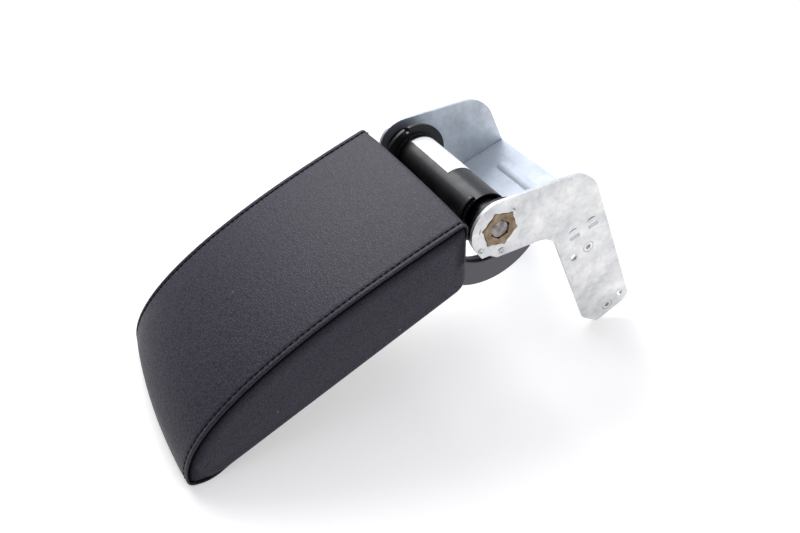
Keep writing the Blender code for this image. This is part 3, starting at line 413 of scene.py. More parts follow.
def use_group(tree, group, inputs):
    made = tree.nodes.new("ShaderNodeGroup")
    made.node_tree = group
    for name, value in inputs.items():
        if isinstance(value, bpy.types.NodeSocket):
            tree.links.new(value, made.inputs[name])
        else:
            made.inputs[name].default_value = value
    return made


def ramp(tree, value, low, high, from_value=0.0, to_value=1.0):
    """Map a value linearly between limits, held at both ends."""
    inputs = {"Value": value, "From Min": low, "From Max": high, "To Min": from_value, "To Max": to_value}
    return add_node(tree, "ShaderNodeMapRange", inputs).outputs["Result"]


def sums(tree, operation, first, second):
    made = tree.nodes.new("ShaderNodeMath")
    made.operation = operation
    for socket, value in zip(made.inputs, (first, second)):
        if isinstance(value, bpy.types.NodeSocket):
            tree.links.new(value, socket)
        else:
            socket.default_value = value
    return made.outputs["Value"]


def vectors(tree, operation, first, second):
    return add_node(tree, "ShaderNodeVectorMath", {0: first, 1: second}, operation=operation).outputs[0]


def colours(tree, factor, first, second):
    """Mix two colours by a factor."""
    made = tree.nodes.new("ShaderNodeMix")
    made.data_type = "RGBA"
    for socket, value in zip((made.inputs[0], made.inputs[6], made.inputs[7]), (factor, first, second)):
        if isinstance(value, bpy.types.NodeSocket):
            tree.links.new(value, socket)
        elif isinstance(value, tuple):
            socket.default_value = (*value, 1.0)
        else:
            socket.default_value = value
    return made.outputs[2]


def noise(tree, place, scale, detail, roughness=0.5):
    inputs = {"Vector": place, "Scale": scale, "Detail": detail, "Roughness": roughness}
    return add_node(tree, "ShaderNodeTexNoise", inputs).outputs["Fac"]


def new_material(name, **settings):
    """A material with its Principled shader's plain values set, and its object coordinates."""
    surface = bpy.data.materials.new(name)
    surface.use_nodes = True
    tree = surface.node_tree
    shader = tree.nodes["Principled BSDF"]
    for socket, value in settings.items():
        shader.inputs[socket.replace("_", " ")].default_value = value
    coords = tree.nodes.new("ShaderNodeTexCoord").outputs["Object"]
    return surface, tree, shader, coords


def add_bump(tree, shader, height, distance, strength=1.0):
    inputs = {"Height": height, "Distance": distance, "Strength": strength}
    bump = add_node(tree, "ShaderNodeBump", inputs)
    tree.links.new(bump.outputs["Normal"], shader.inputs["Normal"])


def grain_group():
    """Leather grain: rounded pebbles between creases, with pores and long soft wrinkles."""
    sockets = [("Vector", "vector"), ("Pebbles", "float"), ("Stretch", "float")]
    group, given, result = new_group("leather_grain", sockets, [("Height", "float"), ("Crease", "float")])
    place = given.outputs["Vector"]
    drift = add_node(group, "ShaderNodeTexNoise", {"Vector": place, "Scale": 420.0, "Detail": 3.0})
    shift = vectors(group, "SUBTRACT", drift.outputs["Color"], (0.5, 0.5, 0.5))
    small = add_node(group, "ShaderNodeVectorMath", {0: shift}, operation="SCALE")
    small.inputs["Scale"].default_value = 0.0016
    moved = vectors(group, "ADD", place, small.outputs[0])
    stretch = add_node(group, "ShaderNodeCombineXYZ", {"X": 1.0, "Y": given.outputs["Stretch"], "Z": 1.0})
    drawn = vectors(group, "MULTIPLY", moved, stretch.outputs[0])
    cells = {"Vector": drawn, "Scale": given.outputs["Pebbles"]}
    edges = add_node(group, "ShaderNodeTexVoronoi", cells, feature="DISTANCE_TO_EDGE")
    bounds = {"Value": edges.outputs["Distance"], "From Min": 0.0, "From Max": 0.4}
    rounded = add_node(group, "ShaderNodeMapRange", bounds, interpolation_type="SMOOTHERSTEP")
    pebble = rounded.outputs["Result"]
    pores = noise(group, place, 2600.0, 2.0)
    wrinkles = noise(group, drawn, 400.0, 3.0, 0.6)
    height = sums(group, "ADD", sums(group, "MULTIPLY", pebble, 0.35), sums(group, "MULTIPLY", pores, 0.15))
    height = sums(group, "ADD", height, sums(group, "MULTIPLY", wrinkles, 1.1))
    group.links.new(height, result.inputs["Height"])
    group.links.new(ramp(group, pebble, 0.0, 0.45, 1.0, 0.0), result.inputs["Crease"])
    return group


def dust_group():
    """Sparse pale specks of dust and lint."""
    sockets = [("Vector", "vector"), ("Specks", "float"), ("Rarity", "float")]
    group, given, result = new_group("dust_specks", sockets, [("Mask", "float")])
    cells = {"Vector": given.outputs["Vector"], "Scale": given.outputs["Specks"], "Randomness": 1.0}
    spots = add_node(group, "ShaderNodeTexVoronoi", cells, feature="F1")
    near = ramp(group, spots.outputs["Distance"], 0.05, 0.10, 1.0, 0.0)
    lot = add_node(group, "ShaderNodeSeparateColor", {"Color": spots.outputs["Color"]}).outputs["Red"]
    kept = sums(group, "GREATER_THAN", lot, given.outputs["Rarity"])
    group.links.new(sums(group, "MULTIPLY", near, kept), result.inputs["Mask"])
    return group


GRAIN = grain_group()
DUST = dust_group()


def dusted(tree, coords, base, specks, rarity, share, pale):
    """The base colour with a share of pale specks laid over it."""
    dust = use_group(tree, DUST, {"Vector": coords, "Specks": specks, "Rarity": rarity}).outputs["Mask"]
    return colours(tree, sums(tree, "MULTIPLY", dust, share), base, pale)


def leather_material():
    surface, tree, shader, coords = new_material("charcoal_leather", Specular_IOR_Level=0.3)
    grain = use_group(tree, GRAIN, {"Vector": coords, "Pebbles": 760.0, "Stretch": 0.5})
    hide = colours(tree, noise(tree, coords, 14.0, 3.0), *HIDE_COLOURS)
    creased = colours(tree, grain.outputs["Crease"], hide, CREASE_COLOUR)
    dusty = dusted(tree, coords, creased, 90.0, 0.93, 0.25, DUST_COLOUR)
    # Painted shade: the seam attribute darkens the colour towards the groove colour in the seams' grooves,
    # below them and along the stitch rows, and roughens it there.
    shaded = add_node(tree, "ShaderNodeAttribute", attribute_name=SEAM_SHADE).outputs["Fac"]
    groove_shade = colours(tree, shaded, dusty, GROOVE_SHADE_COLOUR)
    tree.links.new(groove_shade, shader.inputs["Base Color"])
    rough = ramp(tree, grain.outputs["Height"], 0.3, 1.3, 0.58, 0.45)
    dull = ramp(tree, shaded, 0.0, 0.6, 0.0, 0.5)
    tree.links.new(sums(tree, "ADD", rough, dull), shader.inputs["Roughness"])
    add_bump(tree, shader, grain.outputs["Height"], 0.00022)
    return surface


def shade_seam(body):
    """Store painted shade: full in the seam's groove, and a share of it fading below the groove and along
    the stitch row.
    """
    outline = np.array(pad_outline())
    starts, ends = outline, np.roll(outline, -1, 0)
    places = np.array([v.co[:] for v in body.data.vertices])
    depth = np.full(len(places), 1.0)
    run = ends - starts
    for start, way in zip(starts, run):
        away = places[:, [0, 2]] - start
        share = np.clip(away @ way / max(way @ way, 1e-12), 0.0, 1.0)
        depth = np.minimum(depth, np.linalg.norm(away - share[:, None] * way, axis=1))
    beside = PAD_HALF - np.abs(places[:, 1])
    # Painted shade: the groove in full, a fading band below it and the stitch row by the fold share.
    groove = (depth > GROOVE_DEPTHS[0]) & (depth < GROOVE_DEPTHS[1]) & (beside < GROOVE_REACH)
    groove_shade = np.clip((beside - 0.0008) / 0.0010, 0.0, 1.0) * groove
    below = np.clip((0.0115 - depth) / 0.0080, 0.0, 1.0) * (depth > 0.0030) * (beside < 0.0020)
    valley = np.clip(1.0 - np.abs(beside - STITCH_INSET) / 0.0005, 0.0, 1.0) * (depth < 0.0030)
    sewn = (places[:, 0] < PAD_REAR_TOP[0] - 0.001) & ((places[:, 2] > 0.002) | (places[:, 0] < -0.2500))
    shade = np.maximum(groove_shade, np.maximum(below, valley) * FOLD_SHADE) * sewn
    stored = body.data.attributes.new(SEAM_SHADE, "FLOAT", "POINT")
    stored.data.foreach_set("value", shade.astype(np.float32))


def leather_pad():
    body = link("leather_pad", pad_mesh())
    swell(body, PAD_SWELL)
    refine(body, 1)
    carve(body, pad_hollows(), Matrix.Identity(4))
    shade_seam(body)
    body.data.materials.clear()
    body.data.materials.append(LEATHER)
    body.data.shade_smooth()
    body.data.set_sharp_from_angle(angle=math.radians(60.0))
    place_in_mesh(body, LID_FRAME)
    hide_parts("leather_cover", "foam_core")
    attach(body, "lid")


LEATHER = leather_material()
leather_pad()


# Topstitching
# Two rows of dark bonded thread, one above each side seam, from the lid's rear edge round its nose.
# Each stitch is a short rounded length that lies in the shallow valley the thread pulls into the panel.

STITCH_PITCH = 0.0046
STITCH_LENGTH = 0.0031
THREAD_RADIUS = 0.0006
THREAD_COLOUR = (0.006, 0.006, 0.012)


def thread_material():
    surface, tree, shader, coords = new_material("dark_thread", Specular_IOR_Level=0.1)
    twist = {"Vector": coords, "Scale": 900.0, "Distortion": 2.0, "Detail": 1.0}
    strands = add_node(tree, "ShaderNodeTexWave", twist, bands_direction="DIAGONAL").outputs["Fac"]
    shade = colours(tree, strands, (0.002, 0.002, 0.004), THREAD_COLOUR)
    tree.links.new(shade, shader.inputs["Base Color"])
    tree.links.new(ramp(tree, strands, 0.0, 1.0, 0.85, 0.7), shader.inputs["Roughness"])
    add_bump(tree, shader, strands, 0.00008)
    return surface


def start_row(name, sizes, seeded=False):
    """A geometry node group that takes a path and named sizes, and a seed where it needs one."""
    tree = bpy.data.node_groups.new(name, "GeometryNodeTree")
    tree.interface.new_socket(name="Path", in_out="INPUT", socket_type="NodeSocketGeometry")
    for size in sizes:
        tree.interface.new_socket(name=size, in_out="INPUT", socket_type="NodeSocketFloat")
    if seeded:
        tree.interface.new_socket(name="Seed", in_out="INPUT", socket_type="NodeSocketInt")
    tree.interface.new_socket(name="Row", in_out="OUTPUT", socket_type="NodeSocketGeometry")
    return tree, tree.nodes.new("NodeGroupInput")


def finish_row(tree, given, shape, size, material):
    """Set the shape along the path at its pitch, turned to follow it, and give it the material."""
    spaced = add_node(tree, "GeometryNodeResampleCurve", {"Curve": given.outputs["Path"]}, mode="LENGTH")
    tree.links.new(given.outputs["Pitch"], spaced.inputs["Length"])
    tangent = tree.nodes.new("GeometryNodeInputTangent").outputs["Tangent"]
    turn = add_node(tree, "FunctionNodeAlignRotationToVector", {"Vector": tangent}, axis="Z")
    inputs = {
        "Points": spaced.outputs["Curve"],
        "Instance": shape,
        "Rotation": turn.outputs["Rotation"],
        "Scale": size,
    }
    placed = add_node(tree, "GeometryNodeInstanceOnPoints", inputs)
    real = add_node(tree, "GeometryNodeRealizeInstances", {"Geometry": placed.outputs["Instances"]})
    soft = add_node(tree, "GeometryNodeSetShadeSmooth", {"Geometry": real.outputs["Geometry"]})
    dressed = add_node(tree, "GeometryNodeSetMaterial", {"Geometry": soft.outputs["Geometry"]})
    dressed.inputs["Material"].default_value = material
    result = tree.nodes.new("NodeGroupOutput")
    tree.links.new(dressed.outputs["Geometry"], result.inputs["Row"])
    return tree


def stitch_tree(material):
    """Short rounded lengths of thread."""
    tree, given = start_row("stitch_row", ("Pitch", "Stitch Length", "Thread Radius"))
    ball = add_node(tree, "GeometryNodeMeshUVSphere", {"Segments": 8, "Rings": 8, "Radius": 1.0})
    half = sums(tree, "MULTIPLY", given.outputs["Stitch Length"], 0.5)
    radius = given.outputs["Thread Radius"]
    size = add_node(tree, "ShaderNodeCombineXYZ", {"X": radius, "Y": radius, "Z": half})
    return finish_row(tree, given, ball.outputs["Mesh"], size.outputs["Vector"], material)


def run_tree(name, curve, tree, values):
    """Run a geometry tree on a curve, with its inputs set by name, and keep the mesh it makes."""
    drawing = link(name + "_path", curve)
    step = drawing.modifiers.new("rows", "NODES")
    step.node_group = tree
    for item in tree.interface.items_tree:
        if item.in_out == "INPUT" and item.name in values:
            step[item.identifier] = values[item.name]
    bpy.context.view_layer.update()
    evaluated = drawing.evaluated_get(bpy.context.evaluated_depsgraph_get())
    mesh = bpy.data.meshes.new_from_object(evaluated)
    bpy.data.objects.remove(drawing, do_unlink=True)
    return link(name, mesh)


def path_curve(name, paths):
    curve = bpy.data.curves.new(name, "CURVE")
    curve.dimensions = "3D"
    for points in paths:
        spline = curve.splines.new("POLY")
        spline.points.add(len(points) - 1)
        for point, place in zip(spline.points, points):
            point.co = (*place, 1.0)
    return curve


def topstitching():
    """Both rows follow the outline from the rear edge to the underside of the nose."""
    stations, _, nose_end = pad_stations()
    row = []
    for point, normal, _, s, front in stations:
        if 0.0015 < s < nose_end + 0.002:
            x, z = point + normal * STITCH_VALLEY * 0.5 + nose_bow(front, PAD_HALF - STITCH_INSET)
            row.append((s, x, z))
    row.sort()
    paths = []
    for side in (-1, 1):
        y = side * (PAD_HALF - STITCH_INSET)
        paths.append([(x, y, z) for _, x, z in row])
    values = {"Pitch": STITCH_PITCH, "Stitch Length": STITCH_LENGTH, "Thread Radius": THREAD_RADIUS}
    body = run_tree("topstitching", path_curve("stitch_path", paths), stitch_tree(THREAD), values)
    place_in_mesh(body, LID_FRAME)
    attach(body, "lid")


THREAD = thread_material()
topstitching()


# Underside trim and its screws
# A textured black plastic panel that closes the hem's opening under the lid, held by six screws. The
# carrier plate above it is the same plastic, and only its rear edge shows in the lid's mouth.


def speckle_group():
    """Fine moulded texture of plastic, with a slow change of tone."""
    sockets = [("Vector", "vector"), ("Grains", "float")]
    group, given, result = new_group("moulded_texture", sockets, [("Height", "float"), ("Tone", "float")])
    grains = noise(group, given.outputs["Vector"], given.outputs["Grains"], 3.0)
    group.links.new(grains, result.inputs["Height"])
    group.links.new(noise(group, given.outputs["Vector"], 35.0, 4.0), result.inputs["Tone"])
    return group


SPECKLE = speckle_group()


def plastic_material(name, dark, light, roughness, grains, depth):
    surface, tree, shader, coords = new_material(name, Specular_IOR_Level=0.45)
    texture = use_group(tree, SPECKLE, {"Vector": coords, "Grains": grains})
    tone = colours(tree, texture.outputs["Tone"], dark, light)
    dusty = dusted(tree, coords, tone, 150.0, 0.9, 0.3, (0.4, 0.4, 0.4))
    tree.links.new(dusty, shader.inputs["Base Color"])
    rough = ramp(tree, texture.outputs["Tone"], 0.3, 0.7, roughness - 0.06, roughness + 0.06)
    tree.links.new(rough, shader.inputs["Roughness"])
    add_bump(tree, shader, texture.outputs["Height"], depth)
    return surface


def solid_copy(node):
    """A node's mesh with its loose triangles merged and its flat faces made whole."""
    shell = bmesh.new()
    shell.from_mesh(frame["nodes"][node].data)
    bmesh.ops.remove_doubles(shell, verts=shell.verts, dist=0.00001)
    flat = math.radians(0.5)
    bmesh.ops.dissolve_limit(shell, angle_limit=flat, verts=shell.verts, edges=shell.edges)
    mesh = bpy.data.meshes.new(node)
    shell.to_mesh(mesh)
    shell.free()
    return mesh


def finish_edges(body, radius):
    """Round the sharp edges a little and shade the rest smooth."""
    if radius > 0:
        step = body.modifiers.new("edges", "BEVEL")
        step.width = radius
        step.segments = 2
        step.limit_method = "ANGLE"
        step.angle_limit = math.radians(40.0)
        step.use_clamp_overlap = True
        applied(body)
    body.data.shade_smooth()
    body.data.set_sharp_from_angle(angle=math.radians(36.0))
    even = body.modifiers.new("even", "WEIGHTED_NORMAL")
    even.keep_sharp = True
    applied(body)


def dress(node, name, body_name, surface, radius, change=None):
    """A finished piece that stands for a node: merged, changed, given small edge radii and a finish."""
    piece = link(name, solid_copy(node))
    if change:
        change(piece)
    finish_edges(piece, radius)
    piece.data.materials.clear()
    piece.data.materials.append(surface)
    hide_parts(node)
    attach(piece, body_name)
    return piece


BLACK_COLOURS = (0.016, 0.016, 0.017), (0.024, 0.024, 0.026)
BLACK_PLASTIC = plastic_material("black_moulding", *BLACK_COLOURS, 0.55, 1400.0, 0.00006)
dress("underside_trim", "trim_panel", "lid", BLACK_PLASTIC, 0.0004)
dress("carrier_plate", "carrier", "lid", BLACK_PLASTIC, 0.0)


# Hinge guards
# Two hollow crescents of dark grey plastic that come out of the lid's mouth and close the gap below
# the cheeks as the lid swings.

GREY_COLOURS = (0.088, 0.084, 0.095), (0.105, 0.10, 0.112)
GREY_PLASTIC = plastic_material("grey_moulding", *GREY_COLOURS, 0.48, 900.0, 0.00003)
for side in ("left", "right"):
    dress("hinge_guard_" + side, "guard_" + side, "lid", GREY_PLASTIC, 0.0004)


# Hinge tube, arm plates and their welds
# A steel tube with an arm plate welded on near each end, painted black after welding. The arms run
# into the lid and bolt to its carrier.

TUBE_RADIUS = 0.0175
WELD_RADIUS = 0.0013
WELD_PITCH = 0.0009
WELD_SEAT = TUBE_RADIUS + 0.0002
WELD_INNER = 0.0461
WELD_OUTER = 0.0497
DROP_SMALLEST = 0.6
DROP_LARGEST = 1.1
PAINT_COLOURS = (0.003, 0.003, 0.0034), (0.007, 0.007, 0.0075)


def black_paint():
    gloss = {"Specular_IOR_Level": 0.3, "Coat_Weight": 0.1, "Coat_Roughness": 0.2}
    surface, tree, shader, coords = new_material("black_paint", **gloss)
    tone = noise(tree, coords, 90.0, 5.0, 0.6)
    shade = colours(tree, tone, *PAINT_COLOURS)
    dusty = dusted(tree, coords, shade, 220.0, 0.9, 0.4, (0.45, 0.45, 0.45))
    tree.links.new(dusty, shader.inputs["Base Color"])
    tree.links.new(ramp(tree, tone, 0.3, 0.7, 0.34, 0.5), shader.inputs["Roughness"])
    add_bump(tree, shader, noise(tree, coords, 520.0, 2.0), 0.00004)
    return surface


def bead_tree(material):
    """Overlapping drops of weld along a path, each a little different in size."""
    tree, given = start_row("weld_bead", ("Pitch", "Drop Radius"), seeded=True)
    drop = add_node(tree, "GeometryNodeMeshIcoSphere", {"Radius": 1.0, "Subdivisions": 3})
    seed = {"Seed": given.outputs["Seed"]}
    spread = add_node(tree, "FunctionNodeRandomValue", seed, data_type="FLOAT")
    spread.inputs[2].default_value = DROP_SMALLEST
    spread.inputs[3].default_value = DROP_LARGEST
    radius = sums(tree, "MULTIPLY", spread.outputs[1], given.outputs["Drop Radius"])
    flat = sums(tree, "MULTIPLY", radius, 0.9)
    size = add_node(tree, "ShaderNodeCombineXYZ", {"X": radius, "Y": radius, "Z": flat})
    return finish_row(tree, given, drop.outputs["Mesh"], size.outputs["Vector"], material)


def ring_path(radius, y, start, end, steps=40):
    """Arc round the hinge axis, with angles in the side view from +X up."""
    return [(x, y, z) for x, z in arc_points((0.0, 0.0), radius, start, end, steps)]


def weld_beads():
    """A bead on the inner side of both arms, and a short one on the near arm's outer side."""
    paths = [
        ring_path(WELD_SEAT, -WELD_INNER, 96.0, 262.0),
        ring_path(WELD_SEAT, WELD_INNER, 0.0, 359.0, 90),
        ring_path(WELD_SEAT, -WELD_OUTER, 100.0, 170.0),
    ]
    values = {"Pitch": WELD_PITCH, "Drop Radius": WELD_RADIUS, "Seed": 4}
    beads = run_tree("weld_beads", path_curve("weld_path", paths), bead_tree(BLACK_PAINT), values)
    place_in_mesh(beads, LID_FRAME)
    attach(beads, "lid")


BLACK_PAINT = black_paint()
dress("hinge_tube", "tube", "lid", BLACK_PAINT, 0.0003)
dress("arm_plate_left", "arm_left", "lid", BLACK_PAINT, 0.0004)
dress("arm_plate_right", "arm_right", "lid", BLACK_PAINT, 0.0004)
weld_beads()


# Label
# A blank label of white film, stuck round the tube's upper side. The film is faintly mottled and has
# a few rubbed spots.

FILM_COLOURS = (0.80, 0.81, 0.82), (0.87, 0.87, 0.865)
RUB_COLOUR = (0.45, 0.45, 0.42)


def label_material():
    surface, tree, shader, coords = new_material("white_film", Specular_IOR_Level=0.5)
    tone = noise(tree, coords, 120.0, 4.0)
    film = colours(tree, ramp(tree, tone, 0.35, 0.7), *FILM_COLOURS)
    rubbed = dusted(tree, coords, film, 160.0, 0.86, 0.3, RUB_COLOUR)
    tree.links.new(rubbed, shader.inputs["Base Color"])
    tree.links.new(ramp(tree, tone, 0.3, 0.7, 0.34, 0.5), shader.inputs["Roughness"])
    add_bump(tree, shader, tone, 0.00005)
    return surface


LABEL_FILM = label_material()
dress("tube_label", "label", "lid", LABEL_FILM, 0.0)


# Cheeks, web and clinch nuts
# Blanked, zinc coated sheet steel: two L shaped side plates, the far one darker and bluer by painted shade,
# and a web with a pressed bead and tabs staked into their slots, paler and bluer by a painted reflection of
# the bluish sky. The nuts are pressed into the legs from inside.

BRACKET_LEAN = math.radians(26.849)
BRACKET_FRAME = Matrix.Translation(HINGE) @ Matrix.Rotation(-BRACKET_LEAN, 4, "Y")
CHEEK_OUTER = 0.0683
STAKE_DEPTH = 0.0008
HUB_STAKE_CIRCLE = 0.0164
HUB_STAKE_WIDTH = 0.0013
PIN_STAKE_RADIUS = 0.0027
PIN_STAKE_WIDTH = 0.0012
TAB_STAKE_RADIUS = 0.0046
TAB_STAKE_WIDTH = 0.0015
PLATE_COLOURS = (0.53, 0.54, 0.56), (0.81, 0.81, 0.80)
FAR_CHEEK_SHADE_COLOURS = (0.38, 0.415, 0.46), (0.58, 0.625, 0.68)
WEB_SKY_REFLECTION_COLOURS = (0.60, 0.66, 0.75), (0.70, 0.76, 0.84)
SCRATCH_COLOUR = (0.40, 0.41, 0.43)
PIT_COLOUR = (0.25, 0.24, 0.22)


def zinc_group():
    """Zinc coat: soft cloudy patches, fine crystals, drawn scratches and small dark pits."""
    sockets = [("Vector", "vector"), ("Crystals", "float")]
    results = [("Tone", "float"), ("Scratch", "float"), ("Pit", "float"), ("Height", "float")]
    group, given, result = new_group("zinc_coat", sockets, results)
    place = given.outputs["Vector"]
    clouds = noise(group, place, 55.0, 6.0, 0.62)
    grain = {"Vector": place, "Scale": given.outputs["Crystals"]}
    crystals = add_node(group, "ShaderNodeTexVoronoi", grain, feature="F1")
    facet = add_node(group, "ShaderNodeSeparateColor", {"Color": crystals.outputs["Color"]}).outputs["Red"]
    tone = sums(group, "ADD", sums(group, "MULTIPLY", clouds, 0.92), sums(group, "MULTIPLY", facet, 0.08))
    drawing = {"Vector": place, "Rotation": (0.0, 0.5, 0.0), "Scale": (40.0, 40.0, 900.0)}
    drawn = add_node(group, "ShaderNodeMapping", drawing).outputs["Vector"]
    scratch = ramp(group, noise(group, drawn, 1.0, 4.0), 0.62, 0.72)
    dots = add_node(group, "ShaderNodeTexVoronoi", {"Vector": place, "Scale": 420.0}, feature="F1")
    lot = add_node(group, "ShaderNodeSeparateColor", {"Color": dots.outputs["Color"]}).outputs["Green"]
    near = ramp(group, dots.outputs["Distance"], 0.1, 0.3, 1.0, 0.0)
    pit = sums(group, "MULTIPLY", near, sums(group, "GREATER_THAN", lot, 0.9))
    for name, value in (("Tone", tone), ("Scratch", scratch), ("Pit", pit)):
        group.links.new(value, result.inputs[name])
    relief = sums(group, "SUBTRACT", tone, sums(group, "MULTIPLY", pit, 0.8))
    group.links.new(relief, result.inputs["Height"])
    return group


def zinc_material(name, dark, light, metallic, roughness):
    surface, tree, shader, coords = new_material(name, Metallic=metallic)
    coat = use_group(tree, ZINC, {"Vector": coords, "Crystals": 330.0})
    tone = colours(tree, ramp(tree, coat.outputs["Tone"], 0.32, 0.68), dark, light)
    scratched = colours(tree, sums(tree, "MULTIPLY", coat.outputs["Scratch"], 0.25), tone, SCRATCH_COLOUR)
    pitted = colours(tree, sums(tree, "MULTIPLY", coat.outputs["Pit"], 0.5), scratched, PIT_COLOUR)
    tree.links.new(pitted, shader.inputs["Base Color"])
    rough = ramp(tree, coat.outputs["Tone"], 0.3, 0.7, roughness + 0.1, roughness - 0.08)
    tree.links.new(rough, shader.inputs["Roughness"])
    add_bump(tree, shader, coat.outputs["Height"], 0.00005)
    return surface


def crescent_mesh(centre, radius, start, end, width, y, depth):
    """A curved wedge through the sheet's face, thickest at its middle, to press a stake mark."""
    steps = 12
    outer, inner = [], []
    for i in range(steps + 1):
        angle = math.radians(start + (end - start) * i / steps)
        half = width / 2 * max(math.sin(math.pi * i / steps), 0.12)
        for ring, r in ((outer, radius + half), (inner, radius - half)):
            ring.append((centre[0] + r * math.cos(angle), centre[1] + r * math.sin(angle)))
    loop = outer + inner[::-1]
    verts = [(x, y - depth, z) for x, z in loop] + [(x, y + depth, z) for x, z in loop]
    count = len(loop)
    faces = [tuple(range(count)), tuple(range(2 * count - 1, count - 1, -1))]
    faces += [(i, i + count, (i + 1) % count + count, (i + 1) % count) for i in range(count)]
    return closed_mesh("stake", verts, faces)


def stake_marks(side):
    """Crescents pressed beside two of the hub's lobes, round the pins and over the web's tabs."""
    y = side * CHEEK_OUTER
    marks = []
    for start in (134.0, 20.0):
        marks.append(((0.0, 0.0), HUB_STAKE_CIRCLE, start, start + 18.0, HUB_STAKE_WIDTH))
    for place, start, end in (((-0.0182, -0.0066), 60.0, 170.0), ((-0.0057, -0.0186), 20.0, 150.0)):
        marks.append((place, PIN_STAKE_RADIUS, start, end, PIN_STAKE_WIDTH))
    for place in ((0.0658, -0.0555), (0.0491, -0.0535)):
        marks.append((place, TAB_STAKE_RADIUS, 40.0, 140.0, TAB_STAKE_WIDTH))
    return [crescent_mesh(*mark, y, STAKE_DEPTH) for mark in marks]


def press_marks(side):
    def change(piece):
        carve(piece, stake_marks(side), BRACKET_FRAME)
    return change


ZINC = zinc_group()
ZINC_PLATE = zinc_material("zinc_plate", *PLATE_COLOURS, 0.75, 0.42)
# Painted shade: a darker, bluer copy of the plate's zinc for the far cheek.
ZINC_IN_SHADE = zinc_material("zinc_plate_in_shade", *FAR_CHEEK_SHADE_COLOURS, 0.6, 0.40)
# Painted reflection: a paler, bluer, barely metallic copy of the zinc for the web, standing in for the
# bluish sky.
ZINC_SKY_REFLECTION = zinc_material("zinc_plate_sky_reflection", *WEB_SKY_REFLECTION_COLOURS, 0.1, 0.55)
dress("cheek_left", "side_plate_left", "bracket", ZINC_PLATE, 0.0003, press_marks(-1))
dress("cheek_right", "side_plate_right", "bracket", ZINC_IN_SHADE, 0.0003, press_marks(1))
dress("web_plate", "web", "bracket", ZINC_SKY_REFLECTION, 0.0003)
for number in range(1, 5):
    dress(f"clinch_nut_{number}", f"nut_{number}", "bracket", ZINC_PLATE, 0.0002)


# Friction drums and sleeves
# Black coated drums against the inner face of each cheek, which the tube's sleeves grip. The near one
# has a wide flange with two pins that are staked in the cheek.

PIN_CIRCLE = 0.0194
PIN_ANGLES = (200.0, 253.0)
PIN_MARK_RADIUS = 0.0008
PIN_MARK_WIDTH = 0.0007


def stake_pins(piece):
    """Press a crescent in each pin's end."""
    marks = []
    for angle in PIN_ANGLES:
        x = PIN_CIRCLE * math.cos(math.radians(angle))
        z = PIN_CIRCLE * math.sin(math.radians(angle))
        shape = (PIN_MARK_RADIUS, angle - 100.0, angle + 100.0, PIN_MARK_WIDTH)
        marks.append(crescent_mesh((x, z), *shape, -CHEEK_OUTER, STAKE_DEPTH))
    carve(piece, marks, BRACKET_FRAME)


def bare_ends(piece, surface):
    """Give the faces that lie flush with the cheek's outer side a bare surface."""
    piece.data.materials.append(surface)
    for face in piece.data.polygons:
        if abs(face.center.y) > CHEEK_OUTER - 0.0012:
            face.material_index = 1


drum = dress("friction_drum_left", "drum_left", "bracket", BLACK_PAINT, 0.0003, stake_pins)
bare_ends(drum, ZINC_PLATE)
dress("friction_drum_right", "drum_right", "bracket", BLACK_PAINT, 0.0003)
for side in ("left", "right"):
    dress("sleeve_" + side, "bearing_" + side, "lid", BLACK_PLASTIC, 0.0)


# Star hubs, shaft and spring
# Sintered steel hubs, brown from their steam treatment, set into the cheeks. The shaft's ground end
# stands just inside each hub's bore, and the lift spring lies inside the tube.

BROWN_COLOURS = (0.17, 0.11, 0.065), (0.36, 0.27, 0.18)
PORE_COLOUR = (0.05, 0.035, 0.025)
STEEL_COLOURS = (0.16, 0.145, 0.14), (0.34, 0.315, 0.31)


def hub_material():
    surface, tree, shader, coords = new_material("brown_sinter", Metallic=0.55)
    pores = noise(tree, coords, 900.0, 5.0, 0.7)
    tone = noise(tree, coords, 160.0, 4.0)
    brown = colours(tree, ramp(tree, tone, 0.35, 0.65), *BROWN_COLOURS)
    pitted = colours(tree, ramp(tree, pores, 0.3, 0.45, 0.7, 0.0), brown, PORE_COLOUR)
    tree.links.new(pitted, shader.inputs["Base Color"])
    tree.links.new(ramp(tree, pores, 0.3, 0.7, 0.62, 0.45), shader.inputs["Roughness"])
    add_bump(tree, shader, pores, 0.00006)
    return surface


def steel_material():
    surface, tree, shader, coords = new_material("oiled_steel", Metallic=0.9)
    tone = noise(tree, coords, 260.0, 5.0)
    grey = colours(tree, ramp(tree, tone, 0.35, 0.65), *STEEL_COLOURS)
    tree.links.new(grey, shader.inputs["Base Color"])
    tree.links.new(ramp(tree, tone, 0.3, 0.7, 0.5, 0.3), shader.inputs["Roughness"])
    add_bump(tree, shader, tone, 0.00004)
    return surface


HUB_BROWN = hub_material()
OILED_STEEL = steel_material()
for side in ("left", "right"):
    dress("star_hub_" + side, "hub_" + side, "bracket", HUB_BROWN, 0.0003)
dress("hinge_shaft", "shaft", "bracket", OILED_STEEL, 0.0004)
dress("torsion_spring", "lift_spring", "bracket", OILED_STEEL, 0.0)


# Screws and bolts
# Black coated pan screws hold the trim, and hexagon bolts hold the arms to the carrier.

for number in range(1, 7):
    dress(f"trim_screw_{number}", f"screw_{number}", "lid", BLACK_PAINT, 0.0002)
for number in range(1, 5):
    dress(f"arm_bolt_{number}", f"bolt_{number}", "lid", BLACK_PAINT, 0.0002)


# Floor, light and camera
# A plain white floor that shows white to the camera and to the metal, soft light from above and
# behind with a weaker box in front, and a camera where the photograph was taken from.

FLOOR_SIZE = 6.0
FLOOR_GLOW = 0.42
SKY_TOWARDS = (0.42, 0.45, 0.62)
SKY_DARKEST = 0.12
SKY_BRIGHTEST = 1.25
LIGHT_AIM = (0.0, 0.0, 0.05)
CAMERA_FROM_HINGE = Vector((-0.24580, -0.37767, 0.26612))
CAMERA_YAW = math.radians(28.798)
CAMERA_PITCH = math.radians(37.513)
CAMERA_ROLL = math.radians(-1.022)
CAMERA_LENS = 31.72


